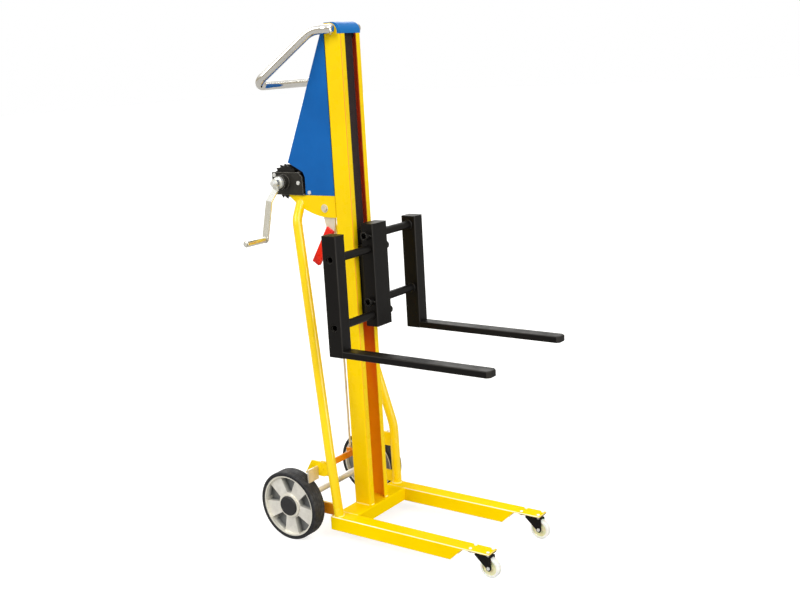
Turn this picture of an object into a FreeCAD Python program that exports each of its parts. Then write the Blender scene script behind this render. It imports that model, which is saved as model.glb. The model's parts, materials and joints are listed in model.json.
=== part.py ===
import FreeCAD, Part
import math
import os
import re

import Sketcher

V = FreeCAD.Vector
DOC = FreeCAD.newDocument("hand_stacker")
SHEET = DOC.addObject("Spreadsheet::Sheet", "Sizes")

# Sizes in mm; "fore" and "back" count from the mast's front face. Text is a rule in the sheet.
SIZES = {
    "mast_front": -144.8, "mast_deep": 70, "mast_wide": 110, "mast_wall": 4, "mast_slot": 62,
    "mast_top": 1786, "mast_round": 32, "mast_edge": 6, "strap_window": 76, "window_half": 32,
    "guard_sheet": 2, "guard_gap": 0.3, "guard_skirt": 6, "guard_set": 13, "wall_round": 30,
    "guard_low": "mast_top - mast_round - guard_skirt", "wall_top": "mast_top - guard_sheet - guard_gap",
    "wheel_outer": 264, "leg_gap": 68, "leg_outer": "wheel_outer - leg_gap", "leg_wide": 55, "leg_wall": 4,
    "leg_clear": 40, "leg_high": 50, "leg_top": "leg_clear + leg_high", "leg_back": 72,
    "swivel_fore": 536, "leg_past": 42, "leg_fore": "swivel_fore + leg_past",
    "notch_reach": 107, "notch_low": "swivel_fore - notch_reach",
    "notch_slope": 49, "notch_up": "notch_low + notch_slope",
    "cross_fore": 12, "cross_high": 46,
    "wheel_rad": 125, "wheel_wide": 58, "tyre_thick": 13, "rim_rad": "wheel_rad - tyre_thick",
    "rim_thick": 6, "rim_bore": "rim_rad - rim_thick", "tyre_edge": 6, "hub_rad": 36, "hub_bore_fit": 0.05,
    "rim_wide": 52, "spoke_deep": 24, "spoke_set": 12, "window_in": 48, "window_narrow": 20,
    "window_broad": 70, "hub_ring": 43, "ring_set": 6, "web_thick": 5,
    "boss_set": 19, "boss_out": "wheel_outer - boss_set",
    "boss_long": 37, "boss_in": "boss_out - boss_long", "cap_proud": 1, "cap_out": "wheel_outer + cap_proud",
    "cap_wall": 4, "axle_back": 210, "axle_rad": 12.5, "axle_past": 8, "axle_half": "boss_out + axle_past",
    "axle_fit": 0.05, "bracket_in": 17, "bracket_mid": "leg_outer - bracket_in", "bracket_thick": 10,
    "bracket_rise": 7, "bracket_top": "wheel_rad + bracket_rise", "bracket_eye": 24, "bracket_fore": 58,
    "collar_rad": 18, "nut_flats": 36, "nut_high": 7,
    "caster_rad": 35, "caster_wide": 20, "caster_trail": 31, "swivel_mid": "leg_outer - leg_wide / 2",
    "caster_pin": 5, "caster_fit": 0.05, "cheek_gap": 12, "cheek_thick": 3,
    "crown_rear": 20, "crown_fore": 40,
    "plate_thick": 4, "plate_low": "leg_top - leg_wall - plate_thick", "plate_long": 82, "plate_wide": 46,
    "race_rad": 18, "race_gap": 0.3, "race_high": 4, "race_low": "plate_low - race_high",
    "turret_high": 3, "crown_high": "race_low - turret_high",
    "crown_thick": 3, "crown_low": "crown_high - crown_thick",
    "king_rad": 6, "king_gap": 3, "king_low": "crown_low - king_gap", "king_head": 9, "king_head_high": 2.5,
    "bolt_long": 33, "bolt_side": 16.5, "bolt_rad": 3, "bolt_flats": 10, "bolt_head": 3,
    "brace_rad": 16.85, "brace_wall": 2.5, "foot_back": 48, "foot_in": 19, "foot_mid": "leg_outer - foot_in",
    "knee_back": 59, "knee_in": 6, "knee_mid": "leg_outer - knee_in", "knee_high": 310,
    "neck_back": 219, "neck_mid": 87, "weld_back": 229, "weld_mid": 46, "knee_bend": 220, "neck_bend": 70,
    "winch_fall": 582, "gusset_top": "mast_top - winch_fall",
    "neck_drop": 79, "neck_high": "gusset_top - neck_drop",
    "weld_drop": 20, "weld_high": "gusset_top - weld_drop",
    "gusset_deep": 71, "gusset_low": "gusset_top - gusset_deep", "gusset_back": 273, "gusset_rad": 271,
    "gusset_toe": 20, "gusset_low_back": "mast_deep + gusset_toe", "gusset_thick": 6, "shelf_thick": 5,
    "cover_sheet": 2, "cover_gap": 0.5, "cover_low": "gusset_top + shelf_thick + cover_gap",
    "cover_cut_back": 197, "cut_rise": 68, "cover_cut_high": "gusset_top + cut_rise",
    "cover_turn_back": 205, "turn_rise": 86, "cover_turn_high": "gusset_top + turn_rise",
    "cover_tip_back": 271, "tip_rise": 118, "cover_tip_high": "gusset_top + tip_rise",
    "cover_top_back": 73, "cover_drop": 5, "cover_top_high": "mast_top - cover_drop",
    "handle_rad": 16, "handle_wall": 2, "handle_end_back": 17, "handle_end": 8, "handle_side_gap": 0.1,
    "handle_set": 22, "handle_high": "mast_top - handle_set", "handle_turn_back": 48,
    "handle_drop_back": 92, "handle_drop_mid": 91,
    "handle_bar_back": 278, "handle_bar_mid": 185, "handle_fall": 172,
    "handle_bar_high": "handle_high - handle_fall",
    "handle_side_bend": 60, "handle_drop_bend": 85, "handle_corner_bend": 32,
    "winch_mid": 60, "winch_plate": 4, "winch_back": 342, "winch_fore_back": 204, "winch_high": 84,
    "winch_top": "gusset_top + winch_high",
    "winch_base": 4, "winch_base_back": 240, "winch_corner": 16, "winch_flange": 9, "winch_heel": 14,
    "shaft_back": 290, "shaft_rise": 51, "shaft_high": "gusset_top + shaft_rise",
    "shaft_rad": 8, "shaft_fit": 0.06, "shaft_near": 124,
    "shaft_far": 66, "boss_rad": 26, "boss_high": 22, "boss_gap": 0.5,
    "drum_rad": 22, "drum_half": 28, "flange_rad": 58, "flange_thick": 3,
    "ratchet_rad": 62, "ratchet_root": 53, "ratchet_teeth": 18, "ratchet_near": 48, "ratchet_thick": 5,
    "ratchet_phase": -6, "shelf_back": 243,
    "strap_wide": 50, "strap_thick": 2.2, "strap_pitch": 2.8, "strap_turns": 5, "strap_lay": 0.4,
    "disc_rad": 21, "disc_near": 94, "hub_near": 112, "arm_hub_rad": 16, "crank_nut_flats": 20,
    "arm_wide": 26, "arm_thick": 6, "arm_reach": 192, "arm_offset_start": 22, "arm_offset_end": 60,
    "arm_near_in": 103, "arm_near_mid": 138, "arm_near_out": 160, "arm_angle": 5.2,
    "grip_rad": 11.5, "grip_near": 264, "grip_gap": 0.6, "grip_pin": 5, "grip_fit": 0.06, "grip_head": 8,
    "pawl_back": 221.4, "pawl_drop": 3, "pawl_high": "shaft_high - pawl_drop", "pawl_eye": 6.3,
    "pawl_pin": 4, "pawl_fit": 0.05,
    "pawl_tip_back": 234.55, "pawl_fall": 29.52, "pawl_tip_high": "shaft_high - pawl_fall", "pawl_tip": 5,
    "screw_rad": 4, "screw_head": 7, "screw_head_high": 3.5,
    "pulley_back": 40, "pulley_drop": 34, "pulley_high": "mast_top - pulley_drop", "pulley_rad": 25,
    "pulley_half": 27, "pulley_lip": 31,
    "pulley_lip_thick": 3, "pulley_pin": 6, "pulley_fit": 0.05,
    "block_fore": 23, "block_deep": 50, "block_wide": 84, "block_low": 758, "block_top": 1116,
    "block_wall": 5, "bar_rad": 14, "bar_wall": 4, "bar_fit": 0.06, "bar_fore": 50,
    "far_upper": 1076, "near_upper": 1028, "bar_pitch": 229, "bar_past": 20, "stop_rad": 3,
    "stop_long": 40, "stop_in": 4.5,
    "fork_fore": 20, "fork_deep": 59, "fork_outer": 251, "fork_wide": 50, "fork_low": 699,
    "fork_top": 1107, "fork_wall": 4, "tine_tip": 641, "tine_thick": 23, "tine_chamfer": 11,
    "slider_back": 45, "slider_front": 15.2, "slider_half": 27, "slider_low": 770, "slider_top": 1095,
    "slider_wall": 6, "cheek_outer": 26, "cheek_wall": 8, "neck_low": 790, "neck_top": 1040,
    "roller_back": 35, "roller_rad": 30.5, "roller_in": 32, "roller_out": 48, "roller_axle": 7,
    "roller_fit": 0.06, "roller_up": 1066, "roller_down": 800,
    "clamp_thick": 6, "clamp_low": 1041, "clamp_top": 1088, "clamp_half": 24, "strap_end": 1050,
    "pivot_back": 100, "pivot_high": 257, "pivot_pin": 5, "pivot_fit": 0.06, "lug_mid": "leg_outer - foot_in",
    "lug_thick": 6, "lug_back": 112, "lug_low": 232, "lug_top": 284, "arm_gap": 1,
    "brake_arm_thick": 6, "brake_top": 283, "brake_low": 231, "brake_top_back": 150,
    "brake_tail_back": 181, "bar_face_back": 121, "bar_thick": 6, "bar_low": 239, "bar_top": 262,
    "shoe_in": 24, "shoe_half": "wheel_outer - shoe_in", "shoe_low": 219.6, "shoe_top": 267,
    "lever_back": 117, "lever_drop": 39, "lever_high": "gusset_top - lever_drop", "lever_near": 46,
    "lever_thick": 6, "lever_boss": 20,
    "lever_shaft": 6, "lever_fit": 0.06, "lever_bolt_flats": 19, "lever_bolt_high": 6,
    "rod_arm": 23.6, "rod_arm_half": 4, "rod_pin": 4, "rod_rad": 4, "rod_eye": 9, "rod_fit": 0.06,
    "rod_side": 15, "rod_near": "rod_side - rod_arm_half", "rod_eye_side": 5, "rod_eye_thick": 6,
    "rod_foot_back": 140, "rod_foot_high": 255, "rod_slack": 2.2,
    "grip_top_back": 104, "grip_drop": 71, "grip_top_high": "lever_high - grip_drop",
    "grip_end_back": 181, "grip_fall": 198, "grip_end_high": "lever_high - grip_fall",
    "grip_broad": 32, "grip_deep": 16, "tongue_broad": 22,
    "blade_fore_back": 80, "blade_lean_back": 84, "blade_nose_back": 89, "blade_heel_back": 123,
    "blade_rear_back": 130, "blade_under": 5, "blade_drop": 38, "blade_nose": 10,
    "leg_edge": 4, "fork_edge": 5, "tine_edge": 4, "block_edge": 4, "cap_edge": 5, "cover_edge": 2,
    "grip_edge": 1.5, "soft_edge": 3, "caster_dish": 4, "caster_rim": 26, "caster_hub": 13, "cheek_end": 10,
}
for row, (name, number) in enumerate(SIZES.items(), start=1):
    SHEET.set(f"A{row}", name)
    SHEET.set(f"B{row}", f"={number}" if isinstance(number, str) else str(number))
    SHEET.setAlias(f"B{row}", name)
DOC.recompute()

NODES = []


def size(name):
    return float(SHEET.get(name))


def bound(text):
    return re.sub(r"[a-z_]+", lambda m: "Sizes." + m.group() if m.group() in SIZES else m.group(), str(text))


def bind(obj, **texts):
    for prop, text in texts.items():
        obj.setExpression(prop.replace("__", "."), bound(text))
    return obj


def place(obj, x, y, z):
    return bind(obj, Placement__Base__x=x, Placement__Base__y=y, Placement__Base__z=z)


def box(x, y, z, long, wide, high):
    obj = DOC.addObject("Part::Box", "block")
    return place(bind(obj, Length=long, Width=wide, Height=high), x, y, z)


def turned(obj, axis):
    spins = {"x": FreeCAD.Rotation(V(0, 1, 0), 90), "y": FreeCAD.Rotation(V(1, 0, 0), -90)}
    if axis in spins:
        obj.Placement = FreeCAD.Placement(V(), spins[axis])
    return obj


def rod(axis, x, y, z, radius, length):
    obj = turned(DOC.addObject("Part::Cylinder", "round"), axis)
    return place(bind(obj, Radius=radius, Height=length), x, y, z)


def across(x, y, z, radius, half):
    # A round bore along Y, as long on both sides of its middle.
    return rod("y", x, f"{y} - ({half})", z, radius, f"2 * ({half})")


def hexagon(axis, x, y, z, flats, length):
    obj = turned(DOC.addObject("Part::Prism", "hexagon"), axis)
    obj.Polygon = 6
    return place(bind(obj, Circumradius=f"({flats}) / sqrt(3)", Height=length), x, y, z)


def joined(kind, parts, name):
    obj = DOC.addObject(kind, name)
    obj.Shapes = parts
    return obj


def fuse(*parts):
    return parts[0] if len(parts) == 1 else joined("Part::MultiFuse", list(parts), "fused")


def common(*parts):
    return joined("Part::MultiCommon", list(parts), "shared")


def cut(base, *tools):
    obj = DOC.addObject("Part::Cut", "cut")
    obj.Base = base
    obj.Tool = fuse(*tools)
    return obj


def several(*parts):
    obj = DOC.addObject("Part::Compound", "set")
    obj.Links = list(parts)
    return obj


def rounded(base, chosen, radius):
    DOC.recompute()
    obj = DOC.addObject("Part::Fillet", "rounded")
    obj.Base = base
    picks = [i for i, edge in enumerate(base.Shape.Edges, start=1) if chosen(edge)]
    obj.Edges = [(i, size(radius), size(radius)) for i in picks]
    return obj


def along(edge, way):
    # Whether a straight edge runs along a direction.
    ends = [v.Point for v in edge.Vertexes]
    return len(ends) == 2 and (ends[0] - ends[1]).Length > 1 and (ends[0] - ends[1]).cross(way).Length < 1e-4


def upright_edge(edge):
    return along(edge, V(0, 0, 1))


def leg_edge(edge):
    return along(edge, V(1, 0, 0)) and edge.CenterOfMass.z > size("leg_top") - 0.1


def cross_edge(edge):
    centre = edge.CenterOfMass
    return along(edge, V(0, 1, 0)) and centre.z > size("leg_top") - 0.1 and centre.x > size("mast_front")


def tine_edge(edge):
    # The rims of the top and bottom, all but the root's.
    ends = [v.Point for v in edge.Vertexes]
    root = size("mast_front") + size("fork_fore") + size("fork_deep")
    return abs(ends[0].z - ends[1].z) < 1e-6 and max(p.x for p in ends) > root + 1


def ring_edge(radius):
    return lambda edge: abs(edge.Length - 2 * math.pi * size(radius)) < 1


def cap_edge(edge):
    return ring_edge("hub_rad")(edge) and abs(edge.CenterOfMass.y) > size("boss_out") + 1


def cover_edge(edge):
    # The two folds between the back sheet and the sides.
    tip = V(size("mast_front") - size("cover_tip_back"), 0, size("cover_tip_high"))
    way = V(size("mast_front") - size("cover_top_back"), 0, size("cover_top_high")) - tip
    spot = edge.CenterOfMass - tip
    away = V(spot.x, 0, spot.z).cross(way).Length / way.Length
    return along(edge, way.normalize()) and away < 0.1 and abs(spot.y) > size("mast_wide") / 2 - 0.1


def pad(plane, start, thick, points):
    # A plate: its outline's corners and its thickness are tied to the sheet.
    body = DOC.addObject("PartDesign::Body", "plate")
    sketch = body.newObject("Sketcher::SketchObject", "outline")
    roles = {feature.Role: feature for feature in body.Origin.OriginFeatures}
    sketch.AttachmentSupport = [(roles[plane + "_Plane"], "")]
    sketch.MapMode = "FlatFace"
    flip = "-" if plane == "XZ" else ""
    sketch.setExpression("AttachmentOffset.Base.z", bound(f"{flip}({start})"))
    count = len(points)
    spots = [V(worked_out(a), worked_out(b), 0) for a, b in points]
    for i in range(count):
        sketch.addGeometry(Part.LineSegment(spots[i], spots[(i + 1) % count]))
    for i in range(count):
        sketch.addConstraint(Sketcher.Constraint("Coincident", i, 2, (i + 1) % count, 1))
    for i, (a, b) in enumerate(points):
        for kind, text, spot in (("DistanceX", a, spots[i].x), ("DistanceY", b, spots[i].y)):
            index = sketch.addConstraint(Sketcher.Constraint(kind, -1, 1, i, 1, spot))
            sketch.renameConstraint(index, f"{kind}_{i}")
            sketch.setExpression(f"Constraints.{kind}_{i}", bound(text))
    solid = body.newObject("PartDesign::Pad", "thickness")
    solid.Profile = sketch
    solid.Reversed = plane == "XZ"
    solid.setExpression("Length", bound(thick))
    sketch.Visibility = False
    return body


PROBE = DOC.addObject("App::FeaturePython", "Probe")
PROBE.addProperty("App::PropertyFloat", "number")


def worked_out(text):
    # The value of an outline corner's rule, worked out by the document.
    PROBE.setExpression("number", bound(text))
    PROBE.recompute()
    return PROBE.number


def raw(shape):
    obj = DOC.addObject("Part::Feature", "formed")
    obj.Shape = shape
    return obj


def node(label, obj):
    obj.Label = label
    NODES.append(obj)
    return obj


def bent_path(points, radii):
    # Straight runs joined by tangent arcs, one radius per inner point.
    edges = []
    start = points[0]
    for i in range(1, len(points) - 1):
        back = (points[i - 1] - points[i]).normalize()
        ahead = (points[i + 1] - points[i]).normalize()
        half = back.getAngle(ahead) / 2
        reach = radii[i - 1] / math.tan(half)
        first = points[i] + back * reach
        last = points[i] + ahead * reach
        middle = (back + ahead).normalize()
        centre = points[i] + middle * (radii[i - 1] / math.sin(half))
        edges.append(Part.LineSegment(start, first).toShape())
        edges.append(Part.Arc(first, centre - middle * radii[i - 1], last).toShape())
        start = last
    edges.append(Part.LineSegment(start, points[-1]).toShape())
    return Part.Wire(edges)


def piped(path, radius):
    first = path.OrderedEdges[0]
    ring = Part.Circle(first.valueAt(first.FirstParameter), first.tangentAt(first.FirstParameter), radius)
    return path.makePipeShell([Part.Wire([ring.toShape()])], True, False)


def tube(points, radii, radius, wall):
    path = bent_path(points, radii)
    return piped(path, radius).cut(piped(path, radius - wall))


MF = "mast_front"
SIDES = (("near", -1), ("far", 1))


def span(sign, inner, outer):
    # Start and width of a piece that lies between two distances from the middle plane.
    start = f"-({outer})" if sign < 0 else f"({inner})"
    return start, f"({outer}) - ({inner})"


# Mast: lipped channel with a strap window, open under the guard.
shell = rounded(box(f"{MF} - mast_deep", "-mast_wide / 2", "leg_top", "mast_deep", "mast_wide",
                    "wall_top - leg_top"), upright_edge, "mast_edge")
inside = "mast_wide / 2 - mast_wall"
hollow = box(f"{MF} - mast_deep + mast_wall", f"-({inside})", "leg_top - 1",
             "mast_deep - 2 * mast_wall", f"2 * ({inside})", "mast_top - leg_top + 2")
slot = box(f"{MF} - mast_wall - 1", "-mast_slot / 2", "leg_top - 1", "mast_wall + 2", "mast_slot",
           "mast_top - leg_top + 2")
window = box(f"{MF} - mast_deep - 1", "-window_half", "mast_top - strap_window", "mast_wall + 2",
             "2 * window_half", "strap_window + 1")
wall_x = f"{MF} - guard_set - wall_round"
wall_z = "wall_top - wall_round"
nose = cut(box(wall_x, "-mast_wide", "guard_low - guard_gap", "guard_set + wall_round + 1", "2 * mast_wide",
               "mast_round + guard_skirt + 1"),
           rod("y", wall_x, "-mast_wide - 1", wall_z, "wall_round", "2 * mast_wide + 2"),
           box(f"{wall_x} - 1", "-mast_wide - 1", "guard_low - 1", "wall_round + 1", "2 * mast_wide + 2",
               f"{wall_z} - guard_low + 1"))
pulley_x = f"{MF} - pulley_back"
pin_bore = rod("y", pulley_x, "-mast_wide", "pulley_high", "pulley_pin + pulley_fit", "2 * mast_wide")
node("mast", cut(shell, hollow, slot, window, nose, pin_bore))
node("pulley_pin", rod("y", pulley_x, "-mast_wide / 2", "pulley_high", "pulley_pin", "mast_wide"))

# Guard: a bent sheet over the mast's top with a cheek in front of each side wall.
round_x = f"{MF} - mast_round"
round_z = "mast_top - mast_round"
quarter = common(rod("y", round_x, "-mast_wide / 2", round_z, "mast_round", "mast_wide"),
                 box(round_x, "-mast_wide / 2", round_z, "mast_round + 1", "mast_wide", "mast_round + 1"))
chin = box(round_x, "-mast_wide / 2", "guard_low", "mast_round", "mast_wide", "guard_skirt")
lid = box(f"{MF} - mast_deep + mast_wall", "-mast_wide / 2", "mast_top - guard_sheet",
          "mast_deep - mast_wall - mast_round", "mast_wide", "guard_sheet")
clear = "mast_wide / 2 - guard_sheet"
belly = fuse(rod("y", round_x, f"-({clear})", round_z, "mast_round - guard_sheet", f"2 * ({clear})"),
             box(f"{round_x} - 1", f"-({clear})", "guard_low - 1", "mast_round - guard_sheet + 1",
                 f"2 * ({clear})", "guard_skirt + 1"))
room = fuse(rod("y", wall_x, "-mast_wide", wall_z, "wall_round + guard_gap", "2 * mast_wide"),
            box(f"{wall_x} - 1", "-mast_wide", "guard_low - 1", "wall_round + guard_gap + 1", "2 * mast_wide",
                f"{wall_z} - guard_low + 1"))
node("pulley_guard", fuse(cut(fuse(quarter, chin), belly, room), lid))

# Base: two channel legs and the cross member under the mast.
for side, sign in SIDES:
    y0, wide = span(sign, "leg_outer - leg_wide", "leg_outer")
    y1, inner = span(sign, "leg_outer - leg_wide + leg_wall", "leg_outer - leg_wall")
    leg = rounded(box(f"{MF} - leg_back", y0, "leg_top - leg_high", "leg_fore + leg_back", wide, "leg_high"),
                  leg_edge, "leg_edge")
    groove = box(f"{MF} - leg_back + leg_wall", y1, "leg_top - leg_high - 1", "leg_fore + leg_back", inner,
                 "leg_high - leg_wall + 1")
    low = "leg_top - leg_high"
    roof = "leg_top - leg_wall"
    notch = pad("XZ", f"{y0} - 1", f"{wide} + 2",
                [(f"{MF} + notch_low", low), (f"{MF} + leg_fore + 2", low), (f"{MF} + leg_fore + 2", roof),
                 (f"{MF} + notch_up", roof)])
    holes = [rod("z", f"{MF} + swivel_fore + {a} * bolt_long", f"{sign} * swivel_mid + {b} * bolt_side",
                 "leg_top - 10", "bolt_rad", "20") for a in (-1, 1) for b in (-1, 1)]
    node(f"base_leg_{side}", cut(leg, groove, notch, *holes))
cross_half = "leg_outer - leg_wide"
beam = rounded(box(f"{MF} - mast_deep", f"-({cross_half})", "leg_top - cross_high", "mast_deep + cross_fore",
                   f"2 * ({cross_half})", "cross_high"), cross_edge, "leg_edge")
tunnel = box(f"{MF} - mast_deep + leg_wall", f"-({cross_half}) - 1", "leg_top - cross_high - 1",
             "mast_deep + cross_fore - 2 * leg_wall", f"2 * ({cross_half}) + 2", "cross_high - leg_wall + 1")
node("base_cross", cut(beam, tunnel))

# Braces: bent tubes from the leg ends to the gussets.
mf = size("mast_front")


def brace_points(sign):
    stops = (("foot_back", "foot_mid", "leg_top"), ("knee_back", "knee_mid", "knee_high"),
             ("neck_back", "neck_mid", "neck_high"), ("weld_back", "weld_mid", "weld_high"))
    return [V(mf - size(a), sign * size(b), size(c)) for a, b, c in stops]


def brace_core(sign, radius):
    points = brace_points(sign)
    points[0] = points[0] + (points[0] - points[1]).normalize() * 20
    return raw(piped(bent_path(points[:3], [size("knee_bend")]), radius))


floor_trim = box("-1000", "-1000", "leg_top - 100", "2000", "2000", "100")
plate_trim = box("-1000", "-mast_wide / 2", "leg_top", "2000", "mast_wide", "2000")
braces = {}
for side, sign in SIDES:
    points = brace_points(sign)
    points[0] = points[0] + (points[0] - points[1]).normalize() * 20
    blank = raw(tube(points, [size("knee_bend"), size("neck_bend")], size("brace_rad"), size("brace_wall")))
    braces[side] = node(f"brace_{side}", cut(blank, floor_trim, plate_trim))

# Rear axle with its brackets, collars and nuts.
axle_x = f"{MF} - axle_back"
plates = []
for side, sign in SIDES:
    y0, wide = span(sign, "bracket_mid - bracket_thick / 2", "bracket_mid + bracket_thick / 2")
    arm = box(axle_x, y0, "leg_top", "axle_back - bracket_fore", wide, "bracket_top - leg_top")
    eye = rod("y", axle_x, y0, "wheel_rad", "bracket_eye", wide)
    bore = rod("y", axle_x, f"{y0} - 1", "wheel_rad", "axle_rad + axle_fit", f"{wide} + 2")
    plates.append(cut(fuse(arm, eye), bore, brace_core(sign, size("brace_rad"))))
node("axle_brackets", several(*plates))
node("rear_axle", rod("y", axle_x, "-axle_half", "wheel_rad", "axle_rad", "2 * axle_half"))
hardware = []
for side, sign in SIDES:
    y0, wide = span(sign, "bracket_mid + bracket_thick / 2", "boss_in - 0.3")
    y1, high = span(sign, "boss_out + 0.5", "boss_out + 0.5 + nut_high")
    bore = across(axle_x, 0, "wheel_rad", "axle_rad + axle_fit", "2 * axle_half")
    hardware.append(cut(rod("y", axle_x, y0, "wheel_rad", "collar_rad", wide), bore))
    hardware.append(cut(hexagon("y", axle_x, y1, "wheel_rad", "nut_flats", high), bore))
node("axle_hardware", several(*hardware))

# Rear wheels: tyre, five-spoke hub and cap.
for side, sign in SIDES:
    y0, wide = span(sign, "wheel_outer - wheel_wide", "wheel_outer")
    ring = cut(rod("y", axle_x, y0, "wheel_rad", "wheel_rad", wide),
               rod("y", axle_x, f"{y0} - 1", "wheel_rad", "rim_rad", f"{wide} + 2"))
    node(f"tyre_{side}", rounded(ring, ring_edge("wheel_rad"), "tyre_edge"))
    mid = "wheel_outer - wheel_wide / 2"
    y1, rim = span(sign, f"{mid} - rim_wide / 2", f"{mid} + rim_wide / 2")
    face = "wheel_outer - spoke_set"
    y2, deep = span(sign, f"{face} - spoke_deep", face)
    y3, boss = span(sign, "boss_in", "boss_out")
    y4, back = span(sign, f"{face} - spoke_deep - web_thick", f"{face} - spoke_deep")
    disc = rod("y", axle_x, y2, "wheel_rad", "rim_bore", deep)
    windows = []
    for k in range(5):
        pocket = pad("XZ", f"{y2} - 1", f"{deep} + 2",
                     [("window_in", "-window_narrow / 2"), ("rim_bore - 4", "-window_broad / 2"),
                      ("rim_bore - 1", "0"), ("rim_bore - 4", "window_broad / 2"),
                      ("window_in", "window_narrow / 2")])
        spin = FreeCAD.Rotation(V(0, 1, 0), 72 * k + 54)
        pocket.Placement = FreeCAD.Placement(V(mf - size("axle_back"), 0, size("wheel_rad")), spin)
        windows.append(pocket)
    rim_ring = cut(rod("y", axle_x, y1, "wheel_rad", "rim_rad", rim),
                   rod("y", axle_x, f"{y1} - 1", "wheel_rad", "rim_bore", f"{rim} + 2"))
    spokes = cut(disc, *windows)
    web = rod("y", axle_x, y4, "wheel_rad", "rim_bore", back)
    y7, raised = span(sign, f"{face} - spoke_deep", "wheel_outer - ring_set")
    collar = rod("y", axle_x, y7, "wheel_rad", "hub_ring", raised)
    centre = fuse(rod("y", axle_x, y3, "wheel_rad", "hub_rad", boss), web, spokes, rim_ring, collar)
    bore = across(axle_x, 0, "wheel_rad", "axle_rad + hub_bore_fit", "2 * axle_half")
    y5, cup = span(sign, "boss_out", "cap_out")
    y6, room = span(sign, "boss_out - 1", "cap_out - cap_wall")
    well = rod("y", axle_x, y5, "wheel_rad", "hub_rad + 0.2", f"{cup} + 1" if sign > 0 else cup)
    node(f"hub_{side}", cut(centre, bore, well))
    lid = rounded(rod("y", axle_x, y5, "wheel_rad", "hub_rad", cup), cap_edge, "cap_edge")
    node(f"hub_cap_{side}", cut(lid, rod("y", axle_x, y6, "wheel_rad", "hub_rad - cap_wall", room)))

# Swivel casters under the leg ends.
bolts = []
for side, sign in SIDES:
    sx = f"{MF} + swivel_fore"
    sy = f"{sign} * swivel_mid"
    roof = "leg_top - leg_wall"
    plate = box(f"{sx} - plate_long / 2", f"{sy} - plate_wide / 2", "plate_low", "plate_long", "plate_wide",
                f"{roof} - plate_low")
    holes = []
    for a in (-1, 1):
        for b in (-1, 1):
            px = f"{sx} + {a} * bolt_long"
            py = f"{sy} + {b} * bolt_side"
            holes.append(rod("z", px, py, "plate_low - 1", "bolt_rad", "20"))
            under = "plate_low - bolt_head"
            bolts.append(fuse(rod("z", px, py, under, "bolt_rad", f"leg_top - ({under})"),
                              hexagon("z", px, py, "leg_top", "bolt_flats", "bolt_head"),
                              hexagon("z", px, py, under, "bolt_flats", "bolt_head")))
    race = rod("z", sx, sy, "race_low + race_gap", "race_rad", "plate_low - race_low - race_gap")
    king = fuse(rod("z", sx, sy, "king_low", "king_rad", "plate_low - king_low"),
                rod("z", sx, sy, "king_low", "king_head", "king_head_high"))
    node(f"caster_plate_{side}", fuse(cut(plate, *holes), race, king))
    ax = f"{sx} + caster_trail"
    crown = box(f"{sx} - crown_rear", f"{sy} - cheek_gap - cheek_thick", "crown_low",
                "crown_rear + crown_fore", "2 * (cheek_gap + cheek_thick)",
                "crown_high - crown_low")
    turret = rod("z", sx, sy, "crown_high", "race_rad", "race_low - crown_high")
    cheeks = []
    for k in (-1, 1):
        y0 = f"{sy} + {k} * cheek_gap - {1 if k < 0 else 0} * cheek_thick"
        cheeks.append(pad("XZ", y0, "cheek_thick",
                          [(f"{sx} - crown_rear", "crown_low"), (f"{ax} - cheek_end", "caster_rad"),
                           (f"{ax} + cheek_end", "caster_rad"),
                           (f"{sx} + crown_fore", "crown_low")]))
        cheeks.append(rod("y", ax, y0, "caster_rad", "cheek_end", "cheek_thick"))
    axle_hole = across(ax, sy, "caster_rad", "caster_pin", "caster_rad")
    king_hole = rod("z", sx, sy, "crown_low - 1", "king_rad + caster_fit", "20")
    node(f"caster_fork_{side}", cut(fuse(crown, turret, *cheeks), axle_hole, king_hole))
    out = "cheek_gap + cheek_thick"
    heads = [hexagon("y", ax, start, "caster_rad", "bolt_flats + 1", "bolt_head")
             for start in (f"{sy} - ({out}) - bolt_head", f"{sy} + {out}")]
    node(f"caster_axle_{side}",
         fuse(rod("y", ax, f"{sy} - ({out})", "caster_rad", "caster_pin", f"2 * ({out})"), *heads))
    roller = rounded(rod("y", ax, f"{sy} - caster_wide / 2", "caster_rad", "caster_rad", "caster_wide"),
                     ring_edge("caster_rad"), "soft_edge")
    dishes = [cut(rod("y", ax, start, "caster_rad", "caster_rim", "caster_dish"),
                  across(ax, sy, "caster_rad", "caster_hub", "caster_rad"))
              for start in (f"{sy} - caster_wide / 2", f"{sy} + caster_wide / 2 - caster_dish")]
    node(f"caster_wheel_{side}",
         cut(roller, across(ax, sy, "caster_rad", "caster_pin + caster_fit", "caster_rad"), *dishes))
node("caster_bolts", several(*bolts))

# Winch bracket: shelf on two curved gussets.
gussets = []
for side, sign in SIDES:
    y0, wide = span(sign, "mast_wide / 2 - gusset_thick", "mast_wide / 2")
    gussets.append(common(
        box(f"{MF} - gusset_back", y0, "gusset_low", "gusset_back - mast_deep", wide,
            "gusset_top + shelf_thick - gusset_low"),
        rod("y", f"{MF} - gusset_low_back", y0, "gusset_low + gusset_rad", "gusset_rad", wide)))
shelf = box(f"{MF} - shelf_back", "-mast_wide / 2", "gusset_top", "shelf_back - mast_deep", "mast_wide",
            "shelf_thick")
lever_x = f"{MF} - lever_back"
lever_bore = rod("y", lever_x, "-mast_wide", "lever_high", "lever_shaft + lever_fit", "2 * mast_wide")
node("winch_bracket", cut(fuse(shelf, *gussets), lever_bore))

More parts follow.
